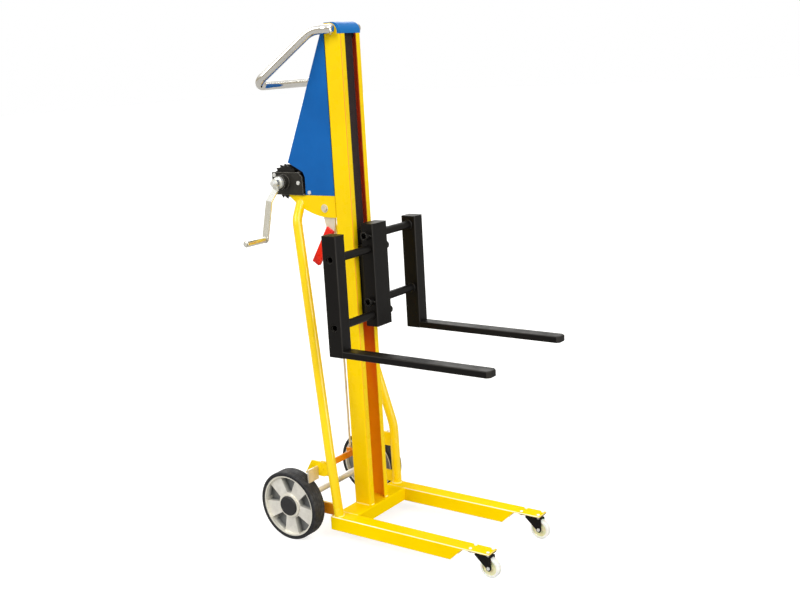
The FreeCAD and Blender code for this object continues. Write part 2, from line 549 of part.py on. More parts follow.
# Winch cover: two side sheets and the sloping back sheet.
low = "cover_low"
fore = f"{MF} - mast_deep - 0.5"
tip = f"{MF} - cover_tip_back"
top = f"{MF} - cover_top_back"
sheets = []
for side, sign in SIDES:
    y0, thick = span(sign, "mast_wide / 2 - cover_sheet", "mast_wide / 2")
    sheets.append(pad("XZ", y0, thick,
                      [(fore, low), (f"{MF} - cover_cut_back", low),
                       (f"{MF} - cover_cut_back", "cover_cut_high"),
                       (f"{MF} - cover_turn_back", "cover_turn_high"), (tip, "cover_tip_high"),
                       (top, "cover_top_high"), (fore, "cover_top_high")]))
back = pad("XZ", "-mast_wide / 2", "mast_wide",
           [(tip, "cover_tip_high"), (f"{tip} + cover_sheet", "cover_tip_high"),
            (f"{top} + cover_sheet", "cover_top_high"), (top, "cover_top_high")])
folded = fuse(*sheets, back)
folded.Refine = True
node("winch_cover", rounded(folded, cover_edge, "cover_edge"))

# Push handle: one bent tube, ends on the mast's sides.
hs = size("mast_wide") / 2 + size("handle_rad") + size("handle_side_gap")
half = [(size("handle_end_back"), hs, size("handle_high")),
        (size("handle_turn_back"), hs, size("handle_high")),
        (size("handle_drop_back"), size("handle_drop_mid"), size("handle_high")),
        (size("handle_bar_back"), size("handle_bar_mid"), size("handle_bar_high"))]
route = [V(mf - x, -y, z) for x, y, z in half] + [V(mf - x, y, z) for x, y, z in reversed(half)]
turns = [size(name) for name in ("handle_side_bend", "handle_drop_bend", "handle_corner_bend")]
turns = turns + turns[::-1]
skin = piped(bent_path(route, turns), size("handle_rad"))
ends = [e for e in skin.Edges if min((e.CenterOfMass - route[i]).Length for i in (0, -1)) < 0.1]
skin = skin.makeFillet(size("handle_end"), ends)
route[0] = route[0] + (route[1] - route[0]).normalize() * size("handle_end")
route[-1] = route[-1] + (route[-2] - route[-1]).normalize() * size("handle_end")
node("handle", raw(skin.cut(piped(bent_path(route, turns), size("handle_rad") - size("handle_wall")))))

# Winch: folded frame, screws, shaft, drum, ratchet, crank.
wx = f"{MF} - winch_back"
front = f"{MF} - winch_fore_back"
floor = "gusset_top + shelf_thick"
walls = []
for side, sign in SIDES:
    y0, thick = span(sign, "winch_mid - winch_plate / 2", "winch_mid + winch_plate / 2")
    walls.append(pad("XZ", y0, thick,
                     [(f"{wx} + winch_heel", floor), (front, floor), (front, "winch_top - winch_corner"),
                      (f"{front} - winch_corner", "winch_top"), (wx, "winch_top"),
                      (wx, f"{floor} + 2 * winch_heel")]))
    y1, turn = span(sign, "winch_mid - winch_flange", "winch_mid")
    walls.append(box(wx, y1, "winch_top - winch_plate", "winch_back - winch_fore_back - winch_corner", turn,
                     "winch_plate"))
base = box(f"{MF} - winch_base_back", "-winch_mid", floor, "winch_base_back - cover_cut_back - 1",
           "2 * winch_mid", "winch_base")
near_face = "winch_mid + winch_plate / 2"
shaft_x = f"{MF} - shaft_back"
boss = rod("y", shaft_x, f"-({near_face}) - boss_high", "shaft_high", "boss_rad", "boss_high")
shaft_hole = across(shaft_x, 0, "shaft_high", "shaft_rad + shaft_fit", "2 * shaft_near")
pawl_x = f"{MF} - pawl_back"
pawl_hole = across(pawl_x, "-winch_mid", "pawl_high", "pawl_pin", "3 * winch_plate")
rear_spot = (f"{wx} + 12", "winch_top - 10")
rear_hole = across(rear_spot[0], "-winch_mid", rear_spot[1], "screw_rad", "3 * winch_plate")
node("winch_frame", cut(fuse(base, boss, *walls), shaft_hole, pawl_hole, rear_hole))
proud = f"-({near_face}) - screw_head_high"
screws = [fuse(rod("y", pawl_x, f"-({near_face})", "pawl_high", "pawl_pin",
                   f"{near_face} - ratchet_near + ratchet_thick + 2"),
               rod("y", pawl_x, proud, "pawl_high", "screw_head", "screw_head_high")),
          fuse(rod("y", rear_spot[0], f"-({near_face})", rear_spot[1], "screw_rad", "winch_plate"),
               rod("y", rear_spot[0], proud, rear_spot[1], "screw_head", "screw_head_high"))]
for side, sign in SIDES:
    y0, head = span(sign, "mast_wide / 2", "mast_wide / 2 + screw_head_high")
    screws.append(rod("y", f"{MF} - cover_cut_back + 18", y0, f"{low} + 9", "screw_head", head))
node("frame_screws", several(*screws))
node("crank_shaft", rod("y", shaft_x, "-shaft_near", "shaft_high", "shaft_rad", "shaft_near + shaft_far"))
bore = across(shaft_x, 0, "shaft_high", "shaft_rad", "2 * shaft_near")
rims = [rod("y", shaft_x, span(sign, "drum_half", "drum_half + flange_thick")[0], "shaft_high", "flange_rad",
            "flange_thick") for side, sign in SIDES]
barrel = rod("y", shaft_x, "-drum_half", "shaft_high", "drum_rad", "2 * drum_half")
node("winch_drum", cut(fuse(barrel, *rims), bore))


def tooth_ring(count, outer, root, lean):
    spots = []
    for k in range(count):
        for radius, step in ((root, 0.0), (outer, lean)):
            angle = 2 * math.pi * (k + step) / count
            spots.append(V(radius * math.cos(angle), 0, radius * math.sin(angle)))
    return Part.Face(Part.makePolygon(spots + spots[:1]))


teeth = tooth_ring(int(size("ratchet_teeth")), size("ratchet_rad"), size("ratchet_root"), 0.9)
teeth.rotate(V(), V(0, -1, 0), size("ratchet_phase"))
wheel = raw(teeth.extrude(V(0, size("ratchet_thick"), 0)))
place(wheel, shaft_x, "-ratchet_near", "shaft_high")
sleeve = rod("y", shaft_x, "-ratchet_near", "shaft_high", "arm_hub_rad",
             "ratchet_near - drum_half - flange_thick")
node("ratchet_wheel", cut(fuse(wheel, sleeve), bore))
disc = cut(rod("y", shaft_x, "-disc_near", "shaft_high", "disc_rad",
               f"disc_near - ({near_face}) - boss_high - boss_gap"), bore)
nut = cut(hexagon("y", shaft_x, "-shaft_near + 2", "shaft_high", "crank_nut_flats",
                  "shaft_near - 2 - hub_near"), bore)
node("crank_hardware", several(disc, nut))


def bent_bar(spots, thick):
    # Outline of a flat bar whose middle line runs through the spots, each (y, z).
    def offset(side):
        line = []
        for i, (y, z) in enumerate(spots):
            runs = [(spots[j + 1][0] - spots[j][0], spots[j + 1][1] - spots[j][1])
                    for j in (i - 1, i) if 0 <= j < len(spots) - 1]
            normals = [(-b / math.hypot(a, b), a / math.hypot(a, b)) for a, b in runs]
            ny = sum(n[0] for n in normals) / len(normals)
            nz = sum(n[1] for n in normals) / len(normals)
            scale = side * thick / 2 / (ny * ny + nz * nz)
            line.append(V(0, y + ny * scale, z + nz * scale))
        return line
    outline = offset(1) + offset(-1)[::-1]
    return Part.Face(Part.makePolygon(outline + outline[:1]))


reach = size("arm_reach")
line = [(-size("arm_near_in"), 0), (-size("arm_near_in"), -size("arm_offset_start")),
        (-size("arm_near_mid"), -size("arm_offset_end")), (-size("arm_near_out"), -reach)]
end = (line[-1][0] - line[-2][0], line[-1][1] - line[-2][1])
line[-1] = tuple(line[-1][k] + end[k] / math.hypot(*end) * size("arm_wide") / 2 for k in (0, 1))
broad = size("arm_wide")
flat = bent_bar(line, size("arm_thick")).extrude(V(broad, 0, 0))
flat.translate(V(-broad / 2, 0, 0))
through = size("grip_near")
tip = Part.makeCylinder(broad / 2, through, V(0, -through, -reach), V(0, 1, 0))
limit = Part.makeBox(broad, through, reach, V(-broad / 2, -through, -reach)).fuse(tip)
hub_at = V(0, -size("hub_near"), 0)
post_at = V(0, -size("grip_near"), -reach)
hub = Part.makeCylinder(size("arm_hub_rad"), size("hub_near") - size("disc_near"), hub_at, V(0, 1, 0))
post = Part.makeCylinder(size("grip_pin"), size("grip_near") - size("arm_near_out"), post_at, V(0, 1, 0))
head = Part.makeCylinder(size("grip_head"), 3, post_at, V(0, 1, 0))
hole = Part.makeCylinder(size("shaft_rad"), through, V(0, -through, 0), V(0, 1, 0))
arm = raw(flat.common(limit).fuse([hub, post, head]).removeSplitter().cut(hole))
lean = FreeCAD.Rotation(V(0, 1, 0), size("arm_angle"))
arm.Placement = FreeCAD.Placement(V(mf - size("shaft_back"), 0, size("shaft_high")), lean)
node("crank_arm", arm)
foot = lean.multVec(V(0, 0, -reach))
pin_at = V(mf - size("shaft_back") + foot.x, 0, size("shaft_high") + foot.z)
grip_start = size("grip_near") - 3 - size("grip_gap")
grip_length = grip_start - size("arm_near_out") - size("arm_thick") - size("grip_gap")
sleeve = Part.makeCylinder(size("grip_rad"), grip_length, V(pin_at.x, -grip_start, pin_at.z), V(0, 1, 0))
sleeve = sleeve.makeFillet(size("grip_edge"), [edge for edge in sleeve.Edges if ring_edge("grip_rad")(edge)])
core_at = V(pin_at.x, -through, pin_at.z)
core = Part.makeCylinder(size("grip_pin") + size("grip_fit"), through, core_at, V(0, 1, 0))
node("crank_grip", raw(sleeve.cut(core)))

tip = f"{MF} - pawl_tip_back"
finger = pad("XZ", "-ratchet_near", "ratchet_thick - 1",
             [(pawl_x, "pawl_high + 7"), (tip, "pawl_tip_high"),
              (f"{tip} + pawl_tip / 2", "pawl_tip_high - pawl_tip"), (f"{pawl_x} + 5", "pawl_high - 6")])
eye = rod("y", pawl_x, "-ratchet_near", "pawl_high", "pawl_eye", "ratchet_thick - 1")
node("pawl", cut(fuse(finger, eye), across(pawl_x, 0, "pawl_high", "pawl_pin + pawl_fit", "2 * winch_mid")))

# Top pulley and the lift strap: roll on the drum, run, front drop.
lips = [rod("y", pulley_x, span(sign, "pulley_half", "pulley_half + pulley_lip_thick")[0], "pulley_high",
            "pulley_lip", "pulley_lip_thick") for side, sign in SIDES]
barrel = rod("y", pulley_x, "-pulley_half", "pulley_high", "pulley_rad", "2 * pulley_half")
node("top_pulley", cut(fuse(barrel, *lips),
                       across(pulley_x, 0, "pulley_high", "pulley_pin + pulley_fit", "mast_wide")))
thick = size("strap_thick")
broad = size("strap_wide")
drum_at = V(mf - size("shaft_back"), -broad / 2, size("shaft_high"))
wheel_at = V(mf - size("pulley_back"), -broad / 2, size("pulley_high"))
first_turn = size("drum_rad") + size("strap_lay") + thick / 2
last_turn = first_turn + size("strap_pitch") * size("strap_turns")
lift_in = last_turn + thick / 2 + size("strap_lay")
lay = size("pulley_rad") + size("strap_lay")
gap = wheel_at - drum_at
tilt = math.atan2(gap.z, gap.x) + math.asin((lay + lift_in + thick) / gap.Length)
side_way = V(-math.sin(tilt), 0, math.cos(tilt))


def spoke(centre, radius, angle):
    return centre + V(radius * math.cos(angle), 0, radius * math.sin(angle))


def run_face():
    crown = tilt / 2 + math.pi / 4
    near = [wheel_at + side_way * r for r in (lay, lay + thick)]
    far = [drum_at - side_way * r for r in (lift_in + thick, lift_in)]
    ends = [spoke(wheel_at, r, 0) for r in (lay, lay + thick)]
    tops = [spoke(wheel_at, r, crown) for r in (lay, lay + thick)]
    edges = [Part.Arc(ends[0], tops[0], near[0]).toShape(), Part.LineSegment(near[0], far[0]).toShape(),
             Part.LineSegment(far[0], far[1]).toShape(), Part.LineSegment(far[1], near[1]).toShape(),
             Part.Arc(near[1], tops[1], ends[1]).toShape(), Part.LineSegment(ends[1], ends[0]).toShape()]
    return Part.Face(Part.Wire(edges))


def roll_face():
    # A flat spiral of half turns, each about its own centre.
    step = size("strap_pitch") / 2
    count = int(2 * size("strap_turns"))
    rails = []
    for edge in (-thick / 2, thick / 2):
        radius = first_turn + edge
        centre = drum_at
        arcs = []
        for k in range(count):
            way = tilt - math.pi / 2 - math.pi * (count - k)
            spots = [spoke(centre, radius, way + math.pi * f) for f in (0, 0.5, 1)]
            arcs.append(Part.Arc(*spots))
            centre = centre - V(math.cos(way + math.pi), 0, math.sin(way + math.pi)) * step
            radius += step
        rails.append(arcs)
    inner, outer = rails
    caps = [Part.LineSegment(inner[0].StartPoint, outer[0].StartPoint),
            Part.LineSegment(inner[-1].EndPoint, outer[-1].EndPoint)]
    edges = [arc.toShape() for arc in inner + outer + caps]
    return Part.Face(Part.Wire(Part.__sortEdges__(edges)))


node("strap_run", raw(run_face().extrude(V(0, broad, 0))))
node("strap_roll", raw(roll_face().extrude(V(0, broad, 0))))
strap_x = f"{pulley_x} + pulley_rad + strap_lay"
node("strap_front", box(strap_x, "-strap_wide / 2", "strap_end", "strap_thick", "strap_wide",
                        "pulley_high - strap_end"))

# Carriage: block, slider in the mast, strap clamp, roller sets.
bar_x = f"{MF} + bar_fore"
block = rounded(box(f"{MF} + block_fore", "-block_wide / 2", "block_low", "block_deep", "block_wide",
                    "block_top - block_low"), upright_edge, "block_edge")
cavity = box(f"{MF} + block_fore + block_wall", "-block_wide / 2 + block_wall", "block_low - 1",
             "block_deep - 2 * block_wall", "block_wide - 2 * block_wall",
             "block_top - block_low - block_wall + 1")
levels = {"far": ("far_upper", "far_upper - bar_pitch"), "near": ("near_upper", "near_upper - bar_pitch")}
bores = [across(bar_x, 0, z, "bar_rad + bar_fit", "block_wide") for rows in levels.values() for z in rows]
node("carriage_block", cut(block, cavity, *bores))
slide_x = f"{MF} - slider_back"
trunk = box(slide_x, "-slider_half", "slider_low", "slider_back - slider_front", "2 * slider_half",
            "slider_top - slider_low")
void = box(f"{slide_x} + slider_wall", "-slider_half + slider_wall", "slider_low - 1",
           "slider_back - slider_front - 2 * slider_wall", "2 * (slider_half - slider_wall)",
           "slider_top - slider_low - slider_wall + 1")
webs = [box(f"{MF} - slider_front", span(sign, "cheek_outer - cheek_wall", "cheek_outer")[0], "neck_low",
            "slider_front + block_fore", "cheek_wall", "neck_top - neck_low") for side, sign in SIDES]
roller_x = f"{MF} - roller_back"
roller_levels = ("roller_up", "roller_down")
axles = [across(roller_x, 0, z, "roller_axle + roller_fit", "2 * roller_out") for z in roller_levels]
node("carriage_slider", cut(fuse(trunk, *webs), void, *axles))
strap_face = f"{strap_x} + strap_thick"
ledge = box(f"{MF} - slider_front", "-clamp_half", "clamp_low", f"{strap_face} - {MF} + slider_front",
            "2 * clamp_half", "strap_end - clamp_low - strap_lay")
plate = box(strap_face, "-clamp_half", "clamp_low", "clamp_thick", "2 * clamp_half", "clamp_top - clamp_low")
node("strap_clamp", fuse(plate, ledge))
for label, z in zip(("roller_upper", "roller_lower"), roller_levels):
    rolls = [rod("y", roller_x, span(sign, "roller_in", "roller_out")[0], z, "roller_rad",
                 "roller_out - roller_in") for side, sign in SIDES]
    node(label, fuse(rod("y", roller_x, "-roller_out - 1", z, "roller_axle", "2 * roller_out + 2"), *rolls))

# Forks: each slides across on its own two bars.
for side, sign in SIDES:
    y0, wide = span(sign, "fork_outer - fork_wide", "fork_outer")
    y1, room = span(sign, "fork_outer - fork_wide + fork_wall", "fork_outer - fork_wall")
    post = rounded(box(f"{MF} + fork_fore", y0, "fork_low", "fork_deep", wide, "fork_top - fork_low"),
                   upright_edge, "fork_edge")
    core = box(f"{MF} + fork_fore + fork_wall", y1, "fork_low + tine_thick", "fork_deep - 2 * fork_wall",
               room, "fork_top - fork_low - tine_thick - fork_wall")
    through = [rod("y", bar_x, y0, z, "bar_rad", wide) for z in levels[side]]
    node(f"fork_upright_{side}", cut(post, core, *through))
    root = f"{MF} + fork_fore + fork_deep"
    tip = f"{MF} + tine_tip"
    side_end = f"{y0} + fork_wide"
    tine = pad("XY", "fork_low", "tine_thick",
               [(root, y0), (f"{tip} - tine_chamfer", y0), (tip, f"{y0} + tine_chamfer"),
                (tip, f"{side_end} - tine_chamfer"), (f"{tip} - tine_chamfer", side_end), (root, side_end)])
    node(f"fork_tine_{side}", rounded(tine, tine_edge, "tine_edge"))
    bars = []
    start = "fork_outer - fork_wall"
    past = "block_wide / 2 + bar_past"
    y2 = f"-({start})" if sign < 0 else f"-({past})"
    for z in levels[side]:
        pipe = cut(rod("y", bar_x, y2, z, "bar_rad", f"{start} + {past}"),
                   across(bar_x, 0, z, "bar_rad - bar_wall", "fork_outer + block_wide"))
        stop = rod("x", f"{bar_x} - stop_long / 2", f"{-sign} * (block_wide / 2 + stop_in)", z, "stop_rad",
                   "stop_long")
        bars.append(fuse(pipe, stop))
    node(f"fork_bars_{side}", several(*bars))

# Brake: lugs on the braces, rocking bar with shoes, lever, rod.
pivot_x = f"{MF} - pivot_back"
lugs = []
for side, sign in SIDES:
    y0, wide = span(sign, "lug_mid - lug_thick / 2", "lug_mid + lug_thick / 2")
    lug = box(f"{MF} - lug_back", y0, "lug_low", "lug_back - knee_back", wide, "lug_top - lug_low")
    y1, pin = span(sign, "lug_mid - lug_thick / 2", "lug_mid + lug_thick / 2 + arm_gap + brake_arm_thick + 2")
    lugs.append(fuse(cut(lug, brace_core(sign, size("brace_rad"))),
                     rod("y", pivot_x, y1, "pivot_high", "pivot_pin", pin)))
node("brake_lugs", several(*lugs))
outer_arm = "lug_mid + lug_thick / 2 + arm_gap"
arms = []
for side, sign in SIDES:
    y0, wide = span(sign, outer_arm, f"{outer_arm} + brake_arm_thick")
    arms.append(pad("XZ", y0, wide, [(pivot_x, "brake_top"), (f"{MF} - brake_top_back", "brake_top"),
                                     (f"{MF} - brake_tail_back", "brake_low"), (pivot_x, "brake_low")]))
    arms.append(rod("y", pivot_x, y0, "pivot_high", "(brake_top - brake_low) / 2", wide))
shoe_start = f"({outer_arm} + brake_arm_thick)"
beam_x = f"{MF} - bar_face_back - bar_thick"
beam = box(beam_x, f"-{shoe_start}", "bar_low", "bar_thick", f"2 * {shoe_start}", "bar_top - bar_low")
foot_x = f"{MF} - rod_foot_back"
ear = box(f"{foot_x} - rod_eye", "rod_near", "bar_low", f"{beam_x} - ({foot_x}) + rod_eye",
          "2 * rod_arm_half", "bar_top - bar_low + 4")
stud_long = "rod_arm_half + rod_eye_side + rod_eye_thick + 2"
stud = rod("y", foot_x, "rod_near", "rod_foot_high", "rod_pin", stud_long)
pivot_bore = across(pivot_x, 0, "pivot_high", "pivot_pin + pivot_fit", "2 * leg_outer")
node("brake_bar", cut(fuse(*arms, beam, ear, stud), pivot_bore))
shoes = [box(beam_x, span(sign, shoe_start, "shoe_half")[0], "shoe_low", "bar_thick",
             f"shoe_half - {shoe_start}", "shoe_top - shoe_low") for side, sign in SIDES]
node("brake_shoes", several(*shoes))

blade = pad("XZ", "-lever_near", "lever_thick",
            [(f"{lever_x} - lever_boss", "lever_high"), (f"{lever_x} + lever_boss", "lever_high"),
             (f"{MF} - blade_fore_back", "gusset_low - blade_under"),
             (f"{MF} - blade_lean_back", "gusset_low - blade_drop"),
             (f"{MF} - blade_nose_back", "grip_top_high - blade_nose"),
             (f"{MF} - blade_heel_back", "grip_top_high + blade_under"),
             (f"{MF} - blade_rear_back", "gusset_low - blade_under")])
boss = rod("y", lever_x, "-lever_near", "lever_high", "lever_boss", "lever_thick")
run = V(size("grip_top_back") - size("grip_end_back"), 0, size("grip_end_high") - size("grip_top_high"))
slope = math.degrees(math.atan2(-run.x, -run.z))
grip_at = V(mf - size("grip_top_back"), -size("lever_near") + size("lever_thick") / 2, size("grip_top_high"))
hang = FreeCAD.Placement(grip_at, FreeCAD.Rotation(V(0, 1, 0), 180 + slope))


def hanging(broad, deep, start, length):
    obj = DOC.addObject("Part::Box", "strip")
    bind(obj, Length=broad, Width=deep, Height=length)
    local = FreeCAD.Placement(V(-worked_out(broad) / 2, -worked_out(deep) / 2, start), FreeCAD.Rotation())
    obj.Placement = hang.multiply(local)
    return obj


grip_run = "sqrt((grip_end_back - grip_top_back) ^ 2 + (grip_top_high - grip_end_high) ^ 2)"
tongue = hanging("tongue_broad", "lever_thick", -10, f"{grip_run} + 2")
rod_arm = box(f"{lever_x} - rod_arm", "rod_near", "lever_high - rod_eye", "rod_arm", "2 * rod_arm_half",
              "2 * rod_eye")
rod_boss = rod("y", f"{lever_x} - rod_arm", "rod_near", "lever_high", "rod_eye", "2 * rod_arm_half")
spindle = rod("y", lever_x, "-mast_wide / 2 - 0.5", "lever_high", "lever_shaft", "mast_wide + 1")
collar = rod("y", lever_x, "-lever_near", "lever_high", "lever_shaft + 4", "lever_near + rod_near")
top_stud = rod("y", f"{lever_x} - rod_arm", "rod_near", "lever_high", "rod_pin", stud_long)
seat = "mast_wide / 2 + 0.5"
heads = [hexagon("y", lever_x, span(sign, seat, f"{seat} + lever_bolt_high")[0], "lever_high",
                 "lever_bolt_flats", "lever_bolt_high") for side, sign in SIDES]
node("brake_lever", fuse(blade, boss, tongue, rod_arm, rod_boss, spindle, collar, top_stud, *heads))
handle_bar = rounded(hanging("grip_broad", "grip_deep", 0, grip_run), lambda edge: True, "soft_edge")
node("lever_grip", cut(handle_bar, hanging("tongue_broad", "lever_thick", -12, f"{grip_run} + 4"), blade))
rod_y = size("rod_side") + size("rod_eye_side")
top = V(mf - size("lever_back") - size("rod_arm"), rod_y, size("lever_high"))
low_end = V(mf - size("rod_foot_back"), rod_y, size("rod_foot_high"))
deep = size("rod_eye_thick")
eyes = [Part.makeCylinder(size("rod_eye"), deep, spot, V(0, 1, 0)) for spot in (top, low_end)]
line = Part.makeCylinder(size("rod_rad"), (top - low_end).Length, low_end + V(0, deep / 2, 0), top - low_end)
lead = V(0, deep, 0)
holes = [Part.makeCylinder(size("rod_pin") + size("rod_fit"), 3 * deep, top - lead, V(0, 1, 0)),
         Part.makeCylinder(size("rod_pin") + size("rod_slack"), 3 * deep, low_end - lead, V(0, 1, 0))]
node("brake_rod", raw(line.fuse(eyes).removeSplitter().cut(holes[0]).cut(holes[1])))

DOC.recompute()
os.makedirs("parts", exist_ok=True)
for obj in DOC.Objects:
    if "Invalid" in obj.State or "Error" in obj.State:
        print("not built:", obj.Name, obj.Label, obj.State)
for obj in NODES:
    shape = obj.Shape
    if shape.isNull() or not shape.isValid():
        raise RuntimeError("bad shape in " + obj.Label)
    shape.exportStep(f"parts/{obj.Label}.step")
print(len(NODES), "nodes written")
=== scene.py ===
"""Hand pallet stacker: finishes, webbing, welds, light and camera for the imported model."""
import json
import math

import bmesh
import bpy
from mathutils import Matrix, Vector


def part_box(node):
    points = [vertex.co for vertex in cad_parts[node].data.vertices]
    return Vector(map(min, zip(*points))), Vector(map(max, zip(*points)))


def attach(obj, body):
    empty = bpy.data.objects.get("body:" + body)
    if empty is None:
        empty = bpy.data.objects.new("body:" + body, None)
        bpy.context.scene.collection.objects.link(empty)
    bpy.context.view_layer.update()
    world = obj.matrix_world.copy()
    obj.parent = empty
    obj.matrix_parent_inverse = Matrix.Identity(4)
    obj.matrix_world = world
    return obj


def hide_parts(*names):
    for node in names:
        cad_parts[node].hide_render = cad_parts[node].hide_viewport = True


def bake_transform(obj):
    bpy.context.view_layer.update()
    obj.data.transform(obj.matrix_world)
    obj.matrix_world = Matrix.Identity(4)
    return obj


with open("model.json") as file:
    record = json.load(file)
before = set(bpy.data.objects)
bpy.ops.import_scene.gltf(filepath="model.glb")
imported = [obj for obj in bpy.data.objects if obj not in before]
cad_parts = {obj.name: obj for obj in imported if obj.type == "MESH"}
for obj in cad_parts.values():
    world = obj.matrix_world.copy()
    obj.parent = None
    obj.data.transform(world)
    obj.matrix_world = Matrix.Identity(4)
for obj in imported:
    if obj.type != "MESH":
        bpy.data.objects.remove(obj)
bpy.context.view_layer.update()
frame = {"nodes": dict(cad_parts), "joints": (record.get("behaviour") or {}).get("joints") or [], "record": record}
nodes = frame["nodes"]
slot_of = {part["node"]: part["material_slot"] for part in frame["record"]["subparts"]}
body_of = {node: body for body, group in frame["record"]["behaviour"]["bodies"].items() for node in group}

# Places from the frame: joints seen from the side as (x, z), and the faces that pieces sit on
side_view = {row["name"]: (row["pos_m"][0], row["pos_m"][2]) for row in frame["joints"] if "pos_m" in row}
AXLE, CASTER, LEVER = (side_view[name] for name in ("wheel_near_roll", "caster_near_roll", "lever_swing"))
DRUM, PULLEY = side_view["crank_turn"], side_view["pulley_turn"]
mast_low, mast_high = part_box("mast")
MAST_BACK, MAST_FRONT, MAST_HALF = mast_low.x, mast_high.x, mast_high.y
leg_low, leg_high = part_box("base_leg_far")
LEG_IN, LEG_OUT, LEG_TOP = leg_low.y, leg_high.y, leg_high.z
CROSS_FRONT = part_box("base_cross")[1].x
UPRIGHT_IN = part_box("fork_upright_far")[0].y
bars_low, bars_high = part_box("fork_bars_far")
BARS_MIDDLE = (bars_low.x + bars_high.x) / 2
strap_low, strap_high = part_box("strap_front")
STRAP_MIDDLE = (strap_low.x + strap_high.x) / 2
STRAP_HALF, STRAP_THICK, STRAP_END = strap_high.y, strap_high.x - strap_low.x, strap_low.z


# Finishes

def tone(r, g, b):
    """A colour given as 0 to 255 screen values, for a shader socket."""
    values = [c / 255 for c in (r, g, b)]
    return tuple(c / 12.92 if c <= 0.04045 else ((c + 0.055) / 1.055) ** 2.4 for c in values) + (1.0,)


class Tree:
    """A node tree being built: each call adds nodes and gives back the socket to use next."""

    def __init__(self, owner, bare=False):
        owner.use_nodes = True
        self.tree = owner.node_tree
        if bare:
            self.tree.nodes.clear()

    def feed(self, socket, value):
        """Link a socket to another one, or set its own value."""
        if isinstance(value, bpy.types.NodeSocket):
            self.tree.links.new(value, socket)
        else:
            socket.default_value = value

    def add(self, kind, feeds=None, **values):
        """A new node with its settings and its fed sockets; gives back its outputs."""
        made = self.tree.nodes.new(kind)
        for key, value in values.items():
            setattr(made, key, value)
        for socket, value in (feeds or {}).items():
            self.feed(made.inputs[socket], value)
        return made.outputs

    def span(self, value, low, high, to_low=0.0, to_high=1.0):
        """A value between low and high eased over to the other two numbers."""
        feeds = {"Value": value, "From Min": low, "From Max": high, "To Min": to_low, "To Max": to_high}
        return self.add("ShaderNodeMapRange", feeds, interpolation_type="SMOOTHSTEP")["Result"]

    def math(self, operation, a, b=0.0):
        return self.add("ShaderNodeMath", {0: a, 1: b}, operation=operation)[0]

    def mix(self, share, first, second):
        """The first colour where share is 0, the second where it is 1."""
        return self.add("ShaderNodeMix", {"Factor": share, 6: first, 7: second}, data_type="RGBA")[2]

    def xyz(self, vector):
        """The three numbers of a vector."""
        return self.add("ShaderNodeSeparateXYZ", {0: vector})


class Finish(Tree):
    """A material on the Principled shader, in the object's own coordinates."""

    def __init__(self, name, **settings):
        self.material = bpy.data.materials.new(name)
        super().__init__(self.material)
        self.shader = self.tree.nodes["Principled BSDF"]
        self.place = self.add("ShaderNodeTexCoord")["Object"]
        for socket, value in settings.items():
            self.put(socket.replace("_", " "), value)

    def put(self, socket, value):
        self.feed(self.shader.inputs[socket], value)

    def noise(self, scale, detail=2.0, rough=0.5, stretch=(1, 1, 1)):
        spread = self.add("ShaderNodeMapping", {"Vector": self.place, "Scale": stretch})["Vector"]
        feeds = {"Vector": spread, "Scale": scale, "Detail": detail, "Roughness": rough}
        return self.add("ShaderNodeTexNoise", feeds)["Fac"]

    def soft_edges(self, radius):
        """The surface normal, rounded over within a radius of each edge."""
        return self.add("ShaderNodeBevel", {"Radius": radius}, samples=4)["Normal"]

    def edges(self, radius):
        """1 along sharp edges, 0 on flat faces."""
        flat = self.add("ShaderNodeNewGeometry")["Normal"]
        feeds = {0: self.soft_edges(radius), 1: flat}
        same = self.add("ShaderNodeVectorMath", feeds, operation="DOT_PRODUCT")["Value"]
        return self.span(self.math("SUBTRACT", 1.0, same), 0.02, 0.25)

    def bump(self, height, strength, distance, **feeds):
        feeds.update(Height=height, Strength=strength, Distance=distance)
        self.put("Normal", self.add("ShaderNodeBump", feeds)["Normal"])

    def axis_distance(self, x, z):
        """Distance from a line along the width."""
        here = self.xyz(self.place)
        a = self.math("SUBTRACT", here["X"], x)
        b = self.math("SUBTRACT", here["Z"], z)
        return self.math("SQRT", self.math("ADD", self.math("MULTIPLY", a, a), self.math("MULTIPLY", b, b)))

    def from_middle(self):
        """Distance from the machine's middle plane."""
        return self.math("ABSOLUTE", self.xyz(self.place)["Y"])

    def wave(self, value, step):
        """A sine wave that repeats once every step."""
        return self.math("SINE", self.math("MULTIPLY", value, 2 * math.pi / step))

    def corners(self):
        """1 where a face is square to none of the three axes, as on the rounded corners of a box."""
        way = self.xyz(self.add("ShaderNodeTexCoord")["Normal"])
        size = [self.math("ABSOLUTE", way[axis]) for axis in "XYZ"]
        widest = self.math("MAXIMUM", self.math("MAXIMUM", size[0], size[1]), size[2])
        return self.span(widest, 0.97, 0.86)


def mast_inside_shade(finish, outside):
    """Painted shade on the channel's inner faces: a deeper orange standing in for the shade in the hollow, redder
    towards the top.
    """
    skin, lip_skin, blur = 0.002, 0.0007, 0.0005
    side, back, front = MAST_HALF - skin, MAST_BACK + skin, MAST_FRONT - lip_skin
    orange_to, red_from, ragged = 0.30, 0.95, 0.12
    here = finish.xyz(finish.place)
    wide = finish.span(finish.from_middle(), side + blur, side - blur)
    deep = finish.math("MULTIPLY", finish.span(here["X"], back - blur, back + blur),
                       finish.span(here["X"], front + blur, front - blur))
    drift = finish.span(finish.noise(7.0, 4.0, 0.65, (1, 1, 0.25)), 0.3, 0.7, -ragged, ragged)
    uneven_height = finish.math("ADD", here["Z"], drift)
    channel_shade = finish.mix(finish.span(uneven_height, orange_to, red_from), SHADE_INSIDE_LOW, SHADE_INSIDE_HIGH)
    return finish.mix(finish.math("MULTIPLY", wide, deep), outside, channel_shade)


